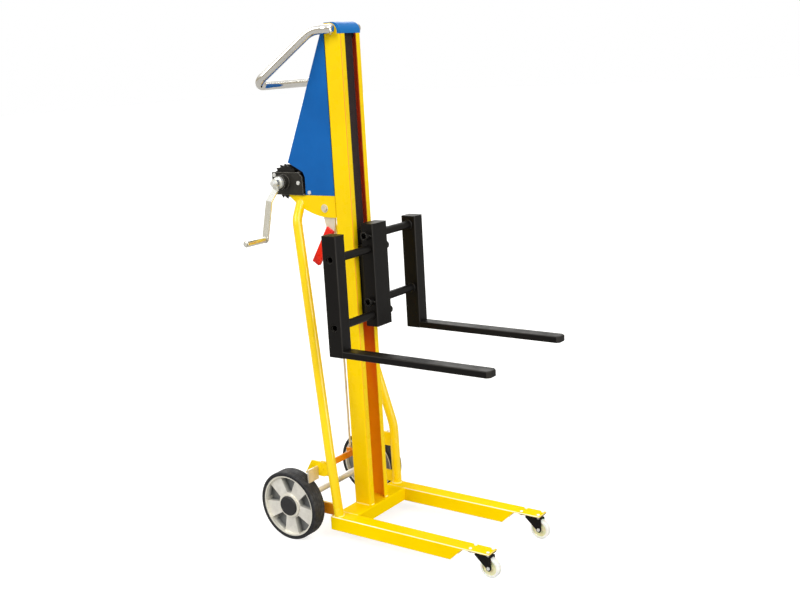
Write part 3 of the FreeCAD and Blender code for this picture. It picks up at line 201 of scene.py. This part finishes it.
def paint(name, colour, shade, worn, rough, edge=0.0012, shade_inside=False, shade_band=None, wear_gleam_spread=(0.42, 0.62),
          gleam=0.0, **settings):
    """Powder coating: cloudy tone, fine peel, roughness that varies, paler edges (wear, and on some coats a
    painted highlight), a painted highlight on rounded corners, and on some coats painted shade in orange.
    """
    finish = Finish(name, **settings)
    cloud = finish.noise(5.0, 4.0, 0.6)
    specks = finish.noise(160.0, 3.0, 0.6)
    body = finish.mix(finish.span(cloud, 0.35, 0.75), colour, shade)
    # Painted shade: deep orange over the mast channel's inner faces
    if shade_inside:
        body = mast_inside_shade(finish, body)
    # Painted shade: orange over the band of faces that lie in shadow
    if shade_band:
        body = finish.mix(finish.span(finish.from_middle(), *shade_band), body, SHADE_ORANGE)
    # Paler edges: wear, and a painted highlight on coats with a pale edge tone
    wear_and_gleam = finish.math("MULTIPLY", finish.edges(edge), finish.span(specks, *wear_gleam_spread))
    # Painted highlight: rounded corners paler
    if gleam:
        bright = finish.span(cloud, 0.25, 0.65, gleam, 0.6 * gleam)
        wear_and_gleam = finish.math("MAXIMUM", wear_and_gleam, finish.math("MULTIPLY", finish.corners(), bright))
    finish.put("Base Color", finish.mix(wear_and_gleam, body, worn))
    gloss = finish.noise(22.0, 4.0, 0.65)
    finish.put("Roughness", finish.span(gloss, 0.3, 0.7, rough - 0.06, rough + 0.08))
    finish.bump(finish.noise(650.0), 0.12, 0.0004, Normal=finish.soft_edges(edge))
    return finish.material


def metal(name, colour, shade, rough, grain, scale, depth, vary=0.25, metallic=1.0):
    """Metal with a grain stretched along an axis, cloudy tone and uneven gloss."""
    finish = Finish(name, Metallic=metallic)
    streak = finish.noise(scale, 4.0, 0.6, grain)
    cloud = finish.noise(14.0, 3.0, 0.6)
    finish.put("Base Color", finish.mix(finish.span(cloud, 0.3, 0.75), colour, shade))
    finish.put("Roughness", finish.span(streak, 0.3, 0.7, rough * (1 - vary), rough * (1 + vary)))
    finish.bump(streak, depth, 0.0003, Normal=finish.soft_edges(0.0008))
    return finish.material


def rubber(name):
    """Tyre: matt black with rings moulded round it, scuffed paler on the tread."""
    wall_edge, shoulder, tread_edge = 0.1185, 0.1195, 0.1245
    groove_step, circle_step = 0.0097, 0.0045
    finish = Finish(name, Specular_IOR_Level=0.2)
    reach = finish.axis_distance(*AXLE)
    worn = finish.span(finish.noise(60.0, 5.0, 0.7), 0.4, 0.7)
    scuff = finish.math("MULTIPLY", finish.span(reach, wall_edge, tread_edge), worn)
    plain = finish.mix(finish.span(finish.noise(9.0, 4.0), 0.35, 0.7), tone(33, 33, 35), tone(44, 44, 46))
    finish.put("Base Color", finish.mix(scuff, plain, tone(62, 62, 63)))
    finish.put("Roughness", finish.span(finish.noise(35.0, 4.0, 0.6), 0.3, 0.7, 0.5, 0.72))
    grooves = finish.wave(finish.xyz(finish.place)["Y"], groove_step)
    circles = finish.wave(reach, circle_step)
    tread = finish.math("MULTIPLY", grooves, finish.span(reach, shoulder, tread_edge))
    wall = finish.math("MULTIPLY", circles, finish.span(reach, shoulder, wall_edge))
    relief = finish.math("ADD", finish.math("ADD", tread, wall), finish.noise(400.0))
    finish.bump(relief, 0.35, 0.0006, Normal=finish.soft_edges(0.001))
    return finish.material


def cast_wheel(name):
    """Cast aluminium: sandy skin, turned bright on rim and ring, and painted shade darkening the pockets."""
    pocket_floor, face = 0.2290, 0.2505
    rim, ring = (0.1052, 0.1060), (0.0437, 0.0429)
    finish = Finish(name, Metallic=0.4, Specular_IOR_Level=0.4)
    reach = finish.axis_distance(*AXLE)
    patches = finish.span(finish.noise(30.0, 4.0, 0.6), 0.3, 0.75)
    skin = finish.mix(patches, tone(232, 229, 220), tone(214, 211, 202))
    # Painted shade: grey down in the pockets, where the face lies deeper
    pocket_shade = finish.mix(patches, tone(126, 127, 126), tone(106, 108, 109))
    shaded = finish.mix(finish.span(finish.from_middle(), pocket_floor, face), pocket_shade, skin)
    turned = finish.math("MAXIMUM", finish.span(reach, *rim), finish.span(reach, *ring))
    finish.put("Base Color", finish.mix(turned, shaded, tone(240, 236, 222)))
    finish.put("Roughness", finish.span(turned, 0.0, 1.0, 0.46, 0.3))
    finish.bump(finish.noise(420.0, 3.0, 0.6), 0.18, 0.0005, Normal=finish.soft_edges(0.0015))
    return finish.material


def caster_plastic(name):
    """Cream nylon: a pale tread, a yellower hub, a moulded skin."""
    hub_edge = (0.0268, 0.0252)
    finish = Finish(name, Specular_IOR_Level=0.4, Subsurface_Weight=0.15, Subsurface_Scale=0.004)
    reach = finish.axis_distance(*CASTER)
    patches = finish.span(finish.noise(45.0, 4.0, 0.6), 0.35, 0.75)
    tread = finish.mix(patches, tone(246, 246, 240), tone(232, 232, 223))
    hub = finish.mix(patches, tone(232, 228, 186), tone(216, 211, 160))
    finish.put("Base Color", finish.mix(finish.span(reach, *hub_edge), tread, hub))
    finish.put("Roughness", finish.span(finish.noise(70.0, 3.0), 0.3, 0.7, 0.34, 0.5))
    finish.bump(finish.noise(500.0), 0.1, 0.0003, Normal=finish.soft_edges(0.0012))
    return finish.material


def moulded(name, colour, shade, rough, edge=0.001, **settings):
    """Moulded plastic: fine leather-like skin, faint cloud."""
    finish = Finish(name, **settings)
    finish.put("Base Color", finish.mix(finish.span(finish.noise(25.0, 4.0), 0.35, 0.7), colour, shade))
    finish.put("Roughness", finish.span(finish.noise(60.0, 3.0), 0.3, 0.7, rough - 0.05, rough + 0.08))
    finish.bump(finish.noise(750.0), 0.12, 0.0003, Normal=finish.soft_edges(edge))
    return finish.material


def webbing(name):
    """Woven strap: warp ribs along it, weft across, selvedges and a worn sheen."""
    warp_step, weft_step = 0.0025, 0.0032
    selvedge = (STRAP_HALF - 0.0038, STRAP_HALF - 0.0028)
    finish = Finish(name, Specular_IOR_Level=0.15, Sheen_Weight=0.06, Sheen_Roughness=0.5)
    spread = finish.xyz(finish.add("ShaderNodeTexCoord")["UV"])
    across, along = spread["X"], spread["Y"]
    warp, weft = finish.wave(across, warp_step), finish.wave(along, weft_step)
    shift = finish.math("MULTIPLY", finish.math("SIGN", warp), weft)
    weave = finish.math("ADD", finish.math("MULTIPLY", finish.math("ABSOLUTE", warp), 0.7),
                        finish.math("MULTIPLY", shift, 0.5))
    cloth = finish.mix(finish.span(weave, -0.4, 1.1), tone(20, 12, 13), tone(48, 31, 29))
    edge = finish.span(finish.math("ABSOLUTE", across), *selvedge)
    stripe = finish.mix(edge, cloth, tone(28, 17, 18))
    dusty = finish.span(finish.noise(18.0, 5.0, 0.7), 0.4, 0.75)
    finish.put("Base Color", finish.mix(dusty, stripe, tone(38, 24, 22)))
    finish.put("Roughness", finish.span(finish.noise(40.0, 3.0), 0.3, 0.7, 0.62, 0.8))
    finish.bump(weave, 0.6, 0.0006)
    return finish.material


# Painted shade for the mast's channel: deep orange low down, red towards the top
SHADE_INSIDE_LOW, SHADE_INSIDE_HIGH = tone(254, 186, 16), tone(255, 100, 52)
# Orange over yellow where a part lies in shadow: painted shade
SHADE_ORANGE = tone(224, 138, 16)
# Coats as tone, cloud tone, worn edge tone and roughness; black has several edges
YELLOW = (tone(252, 215, 2), tone(249, 209, 2), tone(253, 228, 60), 0.3)
BLUE = (tone(14, 100, 178), tone(10, 93, 168), tone(56, 130, 198), 0.34)
BLACK = (tone(15, 13, 11), tone(12, 10, 9))
# Grain of metals, drawn out along one axis
LONG, WIDE, TALL = (0.12, 1, 1), (1, 0.12, 1), (1, 1, 0.12)
FINISHES = {
    "yellow_paint": paint("yellow_powder_coat", *YELLOW, Specular_IOR_Level=0.14),
    "blue_paint": paint("blue_powder_coat", *BLUE, Specular_IOR_Level=0.16),
    # Black parts: paler edges and rounded corners, a painted highlight with some wear on the edges
    "black_paint": paint("black_satin_paint", *BLACK, tone(66, 63, 58), 0.42, gleam=0.6,
                         Specular_IOR_Level=0.15),
    "dark_steel": paint("winch_black_enamel", tone(30, 29, 26), tone(22, 21, 19), tone(80, 77, 72), 0.38,
                        0.0016, Specular_IOR_Level=0.25),
    "chrome": metal("handle_chrome", tone(232, 230, 224), tone(220, 217, 210), 0.08, LONG, 40.0, 0.02),
    "zinc_steel": metal("zinc_plate", tone(240, 240, 236), tone(224, 224, 218), 0.4, WIDE, 160.0, 0.05,
                        metallic=0.55),
    "plated_steel": metal("bright_plate", tone(238, 238, 230), tone(226, 225, 217), 0.26, TALL, 60.0, 0.006,
                          vary=0.12, metallic=0.8),
    "bare_steel": metal("bare_steel", tone(240, 231, 212), tone(216, 205, 184), 0.45, LONG, 200.0, 0.06,
                        metallic=0.7),
    "wheel_aluminium": cast_wheel("cast_aluminium"),
    "tyre_rubber": rubber("solid_rubber"),
    "black_plastic": moulded("cap_plastic", tone(28, 28, 29), tone(22, 22, 23), 0.4, 0.002),
    "nylon": moulded("roller_nylon", tone(226, 224, 214), tone(208, 205, 194), 0.45),
    "cream_plastic": caster_plastic("caster_nylon"),
    "red_plastic": moulded("grip_vinyl", tone(234, 34, 20), tone(218, 26, 16), 0.3, 0.0015,
                           Specular_IOR_Level=0.3),
    "strap_web": webbing("lift_webbing"),
}
GLOSSY = paint("tube_powder_coat", *YELLOW[:3], 0.2, Specular_IOR_Level=0.5)
# Legs: near white edges and rounded corners, a painted highlight standing in for the gloss of the bent edges
GLEAM = paint("leg_powder_coat", *YELLOW[:2], tone(255, 254, 244), 0.3, 0.0034, wear_gleam_spread=(0.1, 0.4), gleam=1.0,
              Specular_IOR_Level=0.004)
# Welds in a paler, glossier yellow than the frame: a painted highlight on the beads
WELD_GLEAM = paint("weld_gleam_coat", tone(254, 238, 130), tone(253, 226, 70), tone(255, 252, 225), 0.16,
             Specular_IOR_Level=0.5)
# Fork bars: paler rims on the bar ends, a painted highlight with some wear
RIM_WEAR_AND_GLEAM = paint("bar_satin_paint", *BLACK, tone(110, 107, 100), 0.42, 0.002, wear_gleam_spread=(0.2, 0.5),
                  Specular_IOR_Level=0.15)
# Nodes with a finish of their own; on the brake bar and the axle brackets a band across the width says how far out
# their orange starts and where it is full: painted shade on the faces that lie in shadow
OWN = {
    "base_leg_near": GLEAM,
    "base_leg_far": GLEAM,
    "base_cross": paint("cross_powder_coat", *YELLOW, Specular_IOR_Level=0.004),
    "brake_bar": paint("brake_bar_coat", *YELLOW, shade_band=(0.179, 0.176), Specular_IOR_Level=0.14),
    "axle_brackets": paint("bracket_coat", *YELLOW, shade_band=(0.1815, 0.1835), Specular_IOR_Level=0.14),
    "crank_grip": metal("grip_plate", tone(238, 237, 228), tone(226, 224, 214), 0.2, WIDE, 30.0, 0.004,
                        vary=0.1),
    "mast": paint("mast_powder_coat", *YELLOW, shade_inside=True, Specular_IOR_Level=0.14),
    "brace_near": GLOSSY,
    "brace_far": GLOSSY,
    "fork_bars_near": RIM_WEAR_AND_GLEAM,
    "fork_bars_far": RIM_WEAR_AND_GLEAM,
    "pulley_guard": paint("guard_powder_coat", tone(10, 112, 186), tone(8, 104, 178), tone(60, 150, 212),
                          0.36, Specular_IOR_Level=0.2),
    # Winch plates: pale grey edges, a painted highlight where the bent flange catches the light
    "winch_frame": paint("winch_plate_enamel", tone(42, 40, 35), tone(34, 32, 28), tone(160, 155, 144), 0.4,
                         0.0032, wear_gleam_spread=(0.2, 0.5), Specular_IOR_Level=0.25),
    "rear_axle": metal("axle_steel", tone(236, 234, 226), tone(216, 212, 202), 0.4, WIDE, 160.0, 0.05,
                       metallic=0.6),
}
for name, thing in nodes.items():
    thing.data.materials.clear()
    thing.data.materials.append(OWN.get(name, FINISHES[slot_of[name]]))


# Pieces

def closed_mesh(name, shape):
    """A closed bmesh turned into a mesh, with its faces pointing outwards."""
    bmesh.ops.recalc_face_normals(shape, faces=shape.faces)
    made = bpy.data.meshes.new(name)
    shape.to_mesh(made)
    shape.free()
    return made


def link(name, data):
    """A new object in the scene."""
    thing = bpy.data.objects.new(name, data)
    bpy.context.scene.collection.objects.link(thing)
    return thing


def piece(name, mesh, slot, body, smooth=True, finish=None):
    """A piece that rides on a body; one with no body is left unattached."""
    thing = link(name, mesh)
    mesh.materials.append(finish or FINISHES[slot])
    mesh.polygons.foreach_set("use_smooth", [smooth] * len(mesh.polygons))
    if body:
        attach(thing, body)
    return thing


# Lift strap

def web_mesh(name, line):
    """A woven band swept along a line of (x, z) points, with thin rounded selvedges; UVs in metres."""
    columns, thinning, squareness = 12, 0.55, 10
    section = []
    for side in (1, -1):
        for i in range(columns + 1):
            u = side * (i / columns * 2 - 1)
            section.append((u * STRAP_HALF, side * STRAP_THICK / 2 * (1 - thinning * abs(u) ** squareness)))
    shape = bmesh.new()
    layer = shape.loops.layers.uv.new("weave")
    travel = [0.0]
    for a, b in zip(line, line[1:]):
        travel.append(travel[-1] + math.dist(a, b))
    rings = []
    for i, (x, z) in enumerate(line):
        ahead, behind = line[min(i + 1, len(line) - 1)], line[max(i - 1, 0)]
        way = Vector((ahead[0] - behind[0], ahead[1] - behind[1])).normalized()
        rings.append([shape.verts.new((x - way.y * h, u, z + way.x * h)) for u, h in section])
    count = len(section)
    for i in range(len(rings) - 1):
        for k in range(count):
            j = (k + 1) % count
            face = shape.faces.new((rings[i][k], rings[i][j], rings[i + 1][j], rings[i + 1][k]))
            spread = ((k, i), (j, i), (j, i + 1), (k, i + 1))
            for loop, (column, row) in zip(face.loops, spread):
                loop[layer].uv = (section[column][0], travel[row])
    for ring in (rings[0], rings[-1]):
        shape.faces.new(ring)
    return closed_mesh(name, shape)


def on_circle(centre, radius, angle):
    return centre[0] + radius * math.cos(angle), centre[1] + radius * math.sin(angle)


def roll_line(end):
    """Half turns of a flat spiral, each about its own centre, up to an angle on the drum."""
    centre, radius, step, count, steps = DRUM, 0.0235, 0.0014, 10, 24
    line = []
    for k in range(count):
        start = end - math.pi * (count - k)
        line += [on_circle(centre, radius, start + math.pi * i / steps) for i in range(steps)]
        centre = on_circle(centre, -step, start + math.pi)
        radius += step
    return line + [on_circle(centre, radius, end)]


def run_line(tilt, leaving, lay):
    """Straight from the roll to the top pulley, then round the pulley to its front."""
    straight, wrap = 60, 28
    leave = Vector(on_circle(DRUM, leaving, tilt - math.pi / 2))
    meet = Vector(on_circle(PULLEY, lay, tilt + math.pi / 2))
    line = [tuple(leave.lerp(meet, i / straight)) for i in range(straight)]
    return line + [on_circle(PULLEY, lay, (tilt + math.pi / 2) * (1 - i / wrap)) for i in range(wrap + 1)]


def front_line():
    """Straight down from the pulley to the carriage's clamp."""
    rows = 120
    drop = PULLEY[1] - STRAP_END
    return [(STRAP_MIDDLE, PULLEY[1] - drop * i / rows) for i in range(rows + 1)]


def lift_strap():
    """Roll, run and front drop; the run is the inner tangent of the roll and the pulley."""
    roll_radius = 0.0390
    leaving, lay = roll_radius + STRAP_THICK / 2, STRAP_MIDDLE - PULLEY[0]
    slope = math.atan2(PULLEY[1] - DRUM[1], PULLEY[0] - DRUM[0])
    tilt = slope + math.asin((lay + leaving) / math.dist(DRUM, PULLEY))
    lines = {"strap_roll": roll_line(tilt - math.pi / 2), "strap_run": run_line(tilt, leaving, lay)}
    for label, line in lines.items():
        band = piece(f"{label}_web", web_mesh(f"{label}_web", line), "strap_web", body_of[label])
        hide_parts(label)
    front = piece("strap_front_web", web_mesh("strap_front_web", front_line()), "strap_web", None)
    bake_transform(front)
    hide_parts("strap_front")


lift_strap()


# Welds and washers

# Height of a bead's middle above the face it lies on, and the heights of each fork's two bars
PROUD = 0.0005
BARS = {"near": (1.028, 0.799), "far": (1.076, 0.847)}


def bead(name, path, radius, closed=False, slot="yellow_paint", body="frame", finish=WELD_GLEAM):
    """A weld bead along a line of points: fine ripples on a slow swell, tapered where it ends."""
    sides, step = 10, 0.0012
    spots = [Vector(p) for p in path]
    if closed:
        spots.append(spots[0])
    line = []
    for a, b in zip(spots, spots[1:]):
        parts = max(1, round((b - a).length / step))
        line += [a.lerp(b, i / parts) for i in range(parts)]
    if not closed:
        line.append(spots[-1])
    shape = bmesh.new()
    rings = []
    run = len(line)
    for i, spot in enumerate(line):
        ahead = line[(i + 1) % run] if closed else line[min(i + 1, run - 1)]
        behind = line[i - 1] if closed else line[max(i - 1, 0)]
        way = (ahead - behind).normalized()
        first = (way.orthogonal() if abs(way.z) > 0.9 else way.cross(Vector((0, 0, 1)))).normalized()
        second = way.cross(first)
        ripple, swell = 0.16 * abs(math.sin(i * 0.9)), 0.08 * math.sin(i * 0.23)
        taper = 1.0 if closed else min(1.0, 0.45 + 0.2 * min(i, run - 1 - i))
        size = radius * (1 + ripple + swell) * taper
        rings.append([shape.verts.new(spot + (first * math.cos(t) + second * math.sin(t)) * size)
                      for t in (2 * math.pi * k / sides for k in range(sides))])
    pairs = list(zip(rings, rings[1:])) + ([(rings[-1], rings[0])] if closed else [])
    for a, b in pairs:
        for k in range(sides):
            j = (k + 1) % sides
            shape.faces.new((a[k], a[j], b[j], b[k]))
    if not closed:
        shape.faces.new(rings[0][::-1])
        shape.faces.new(rings[-1])
    piece(name, closed_mesh(name, shape), slot, body, finish=finish)


def around(x, y, z, radius, axis, steps=40):
    """Points of a circle about an upright axis or one along the width."""
    spots = []
    for k in range(steps):
        a, b = radius * math.cos(2 * math.pi * k / steps), radius * math.sin(2 * math.pi * k / steps)
        spots.append((x + a, y + b, z) if axis == "z" else (x + a, y, z + b))
    return spots


def washer(name, x, y, z, out):
    """A flat washer with eased edges, its face pointing along out (1 or -1) on the width."""
    inner, outer, thick, ease, steps = 0.0113, 0.0142, 0.0016, 0.0004, 48
    profile = ((inner, 0.0), (inner, thick - ease), (inner + ease, thick), (outer - ease, thick),
               (outer, thick - ease), (outer, 0.0))
    shape = bmesh.new()
    loops = [[shape.verts.new(p) for p in around(x, y + out * high, z, radius, "y", steps)]
             for radius, high in profile]
    for a, b in zip(loops, loops[1:] + loops[:1]):
        for k in range(steps):
            j = (k + 1) % steps
            shape.faces.new((a[k], a[j], b[j], b[k]))
    piece(name, closed_mesh(name, shape), "zinc_steel", "frame", smooth=False)


def foot_arc(sign):
    """The open arc round a brace's foot, as far as the leg's rounded outer edge."""
    x, y, radius, edge = MAST_FRONT - 0.048, 0.177, 0.0174, 0.0025
    arc = [spot for spot in around(x, y, LEG_TOP + PROUD, radius, "z") if spot[1] < LEG_OUT - edge]
    start = max(range(len(arc)), key=lambda k: math.dist(arc[k - 1], arc[k]))
    return [(x, sign * y, z) for x, y, z in arc[start:] + arc[:start]]


def top_rim(brace):
    """The outer edge of a brace's top end, where the tube meets the bracket's side."""
    on_face, outer_share = 1e-5, 0.6
    rim = [v.co.copy() for v in nodes[brace].data.vertices if abs(abs(v.co.y) - MAST_HALF) < on_face]
    middle = sum(rim, Vector()) / len(rim)
    widest = {}
    for spot in rim:
        angle = round(math.atan2(spot.z - middle.z, spot.x - middle.x), 2)
        if angle not in widest or (spot - middle).length > (widest[angle] - middle).length:
            widest[angle] = spot
    loop = [widest[angle] for angle in sorted(widest)]
    reach = max((spot - middle).length for spot in loop)
    return [spot for spot in loop if (spot - middle).length > outer_share * reach]


def frame_welds(side, sign):
    """Beads round a brace's foot and top, along the leg's seam with the cross and at the mast's foot."""
    clear, seam_clear, seam_sunk = 0.006, 0.004, 0.0025
    flank_gap, lip_gap, lip_ends = 0.0002, 0.0003, (0.033, 0.050)
    foot = LEG_TOP + PROUD
    seam_y, seam_x = sign * (LEG_IN + PROUD), (MAST_BACK + clear, CROSS_FRONT - seam_clear)
    flank_y, flank_x = sign * (MAST_HALF + flank_gap), (MAST_BACK + clear, MAST_FRONT - clear)
    bead(f"weld_brace_foot_{side}", foot_arc(sign), radius=0.0028)
    bead(f"weld_leg_cross_{side}", [(x, seam_y, LEG_TOP - seam_sunk) for x in seam_x], radius=0.0026)
    bead(f"weld_mast_side_{side}", [(x, flank_y, foot) for x in flank_x], radius=0.0027)
    bead(f"weld_mast_lip_{side}", [(MAST_FRONT + lip_gap, sign * y, foot) for y in lip_ends], radius=0.0026)
    bead(f"weld_brace_top_{side}", top_rim(f"brace_{side}"), radius=0.0022, closed=True)


def bar_welds(side, sign):
    """Rings where a fork's two bars enter its upright."""
    ring_radius, gap = 0.0146, 0.0004
    for level, height in zip(("upper", "lower"), BARS[side]):
        ring = around(BARS_MIDDLE, sign * (UPRIGHT_IN - gap), height, ring_radius, "y")
        bead(f"weld_bar_{side}_{level}", ring, radius=0.0026, closed=True, slot="black_paint",
             body=f"fork_{side}", finish=FINISHES["black_paint"])


for side, sign in (("near", -1), ("far", 1)):
    frame_welds(side, sign)
    bar_welds(side, sign)
    washer(f"lever_washer_{side}", LEVER[0], sign * MAST_HALF, LEVER[1], sign)


# Stage, light and camera

WHITE = (1.0, 1.0, 1.0, 1.0)


def stage_floor():
    """A pale floor that the camera sees as white, with the soft shadow left on it."""
    reach, below, glow_share, pale = 40.0, 0.0005, 0.72, (0.5, 0.495, 0.485, 1)
    shape = bmesh.new()
    bmesh.ops.create_grid(shape, x_segments=8, y_segments=8, size=reach)
    made = bpy.data.meshes.new("floor")
    shape.to_mesh(made)
    shape.free()
    floor = link("floor", made)
    floor.location.z = -below
    finish = bpy.data.materials.new("floor_white")
    tree = Tree(finish, bare=True)
    seen = tree.add("ShaderNodeLightPath")["Is Camera Ray"]
    matt = tree.add("ShaderNodeBsdfDiffuse", {"Color": pale})[0]
    strength = tree.math("MULTIPLY", seen, glow_share)
    glow = tree.add("ShaderNodeEmission", {"Color": WHITE, "Strength": strength})[0]
    both = tree.add("ShaderNodeAddShader", {0: matt, 1: glow})[0]
    tree.add("ShaderNodeOutputMaterial", {"Surface": both})
    made.materials.append(finish)


def studio_world(ambient):
    """White to the camera, an even fill, and a studio's bright ceiling and dim walls to mirrors."""
    wall_top, ceiling = 0.12, 0.55
    wall_tone, fill_tone = (0.50, 0.45, 0.35, 1), (1.0, 0.99, 0.975, 1)
    world = bpy.data.worlds.new("studio")
    bpy.context.scene.world = world
    tree = Tree(world, bare=True)
    path = tree.add("ShaderNodeLightPath")
    height = tree.xyz(tree.add("ShaderNodeTexCoord")["Generated"])["Z"]
    room = tree.mix(tree.span(height, wall_top, ceiling), wall_tone, WHITE)
    fill = tree.add("ShaderNodeBackground", {"Color": fill_tone, "Strength": ambient})[0]
    mirror = tree.add("ShaderNodeBackground", {"Color": room, "Strength": 1.0})[0]
    white = tree.add("ShaderNodeBackground", {"Color": WHITE, "Strength": 1.0})[0]
    lit = tree.add("ShaderNodeMixShader", {0: path["Is Glossy Ray"], 1: fill, 2: mirror})[0]
    direct = tree.math("MAXIMUM", path["Is Camera Ray"], path["Is Transmission Ray"])
    seen = tree.add("ShaderNodeMixShader", {0: direct, 1: lit, 2: white})[0]
    tree.add("ShaderNodeOutputWorld", {"Surface": seen})


def soft_sun(name, towards, strength, spread):
    """Even light from one side, with soft shadows; the spread is in degrees."""
    data = bpy.data.lights.new(name, "SUN")
    data.energy = strength
    data.angle = math.radians(spread)
    link(name, data).rotation_euler = Vector(towards).to_track_quat("Z", "Y").to_euler()


def gloss_strip(name, spot, aim, wide, high, watts):
    """A tall soft box that only shows as a streak in glossy surfaces."""
    data = bpy.data.lights.new(name, "AREA")
    data.shape = "RECTANGLE"
    data.size, data.size_y = wide, high
    data.energy = watts
    lamp = link(name, data)
    lamp.location = spot
    lamp.rotation_euler = (Vector(spot) - Vector(aim)).to_track_quat("Z", "Y").to_euler()
    lamp.visible_camera = False
    lamp.visible_diffuse = False


def photo_camera(eye, yaw, pitch, roll, focal):
    """A camera turned by yaw, pitch and roll in degrees, with a focal length in millimetres."""
    yaw, pitch, roll = math.radians(yaw), math.radians(pitch), math.radians(roll)
    back = Vector((math.sin(yaw) * math.cos(pitch), -math.cos(yaw) * math.cos(pitch), math.sin(pitch)))
    right = Vector((math.cos(yaw), math.sin(yaw), 0))
    up = back.cross(right)
    turned_right = right * math.cos(roll) + up * math.sin(roll)
    turned_up = up * math.cos(roll) - right * math.sin(roll)
    lens = bpy.data.cameras.new("camera")
    lens.lens = focal
    lens.sensor_width = 36.0
    lens.sensor_fit = "HORIZONTAL"
    pose = Matrix((turned_right, turned_up, back)).transposed().to_4x4()
    pose.translation = eye
    camera = link("camera", lens)
    camera.matrix_world = pose
    bpy.context.scene.camera = camera


stage_floor()
studio_world(ambient=0.58)
gloss_strip("strip", spot=(2.4, 0.25, 1.0), aim=(0, 0, 1.0), wide=0.45, high=2.0, watts=40)
soft_sun("key", towards=(-0.25, -0.75, 0.6), strength=1.55, spread=35)
soft_sun("front", towards=(0.8, -0.2, 0.55), strength=1.5, spread=40)
soft_sun("back", towards=(-0.6, 0.6, 0.5), strength=0.8, spread=40)
photo_camera(eye=(2.1785, -2.9929, 1.6672), yaw=36.083, pitch=12.439, roll=-3.264, focal=49.9)
bpy.context.scene.view_settings.view_transform = "Standard"
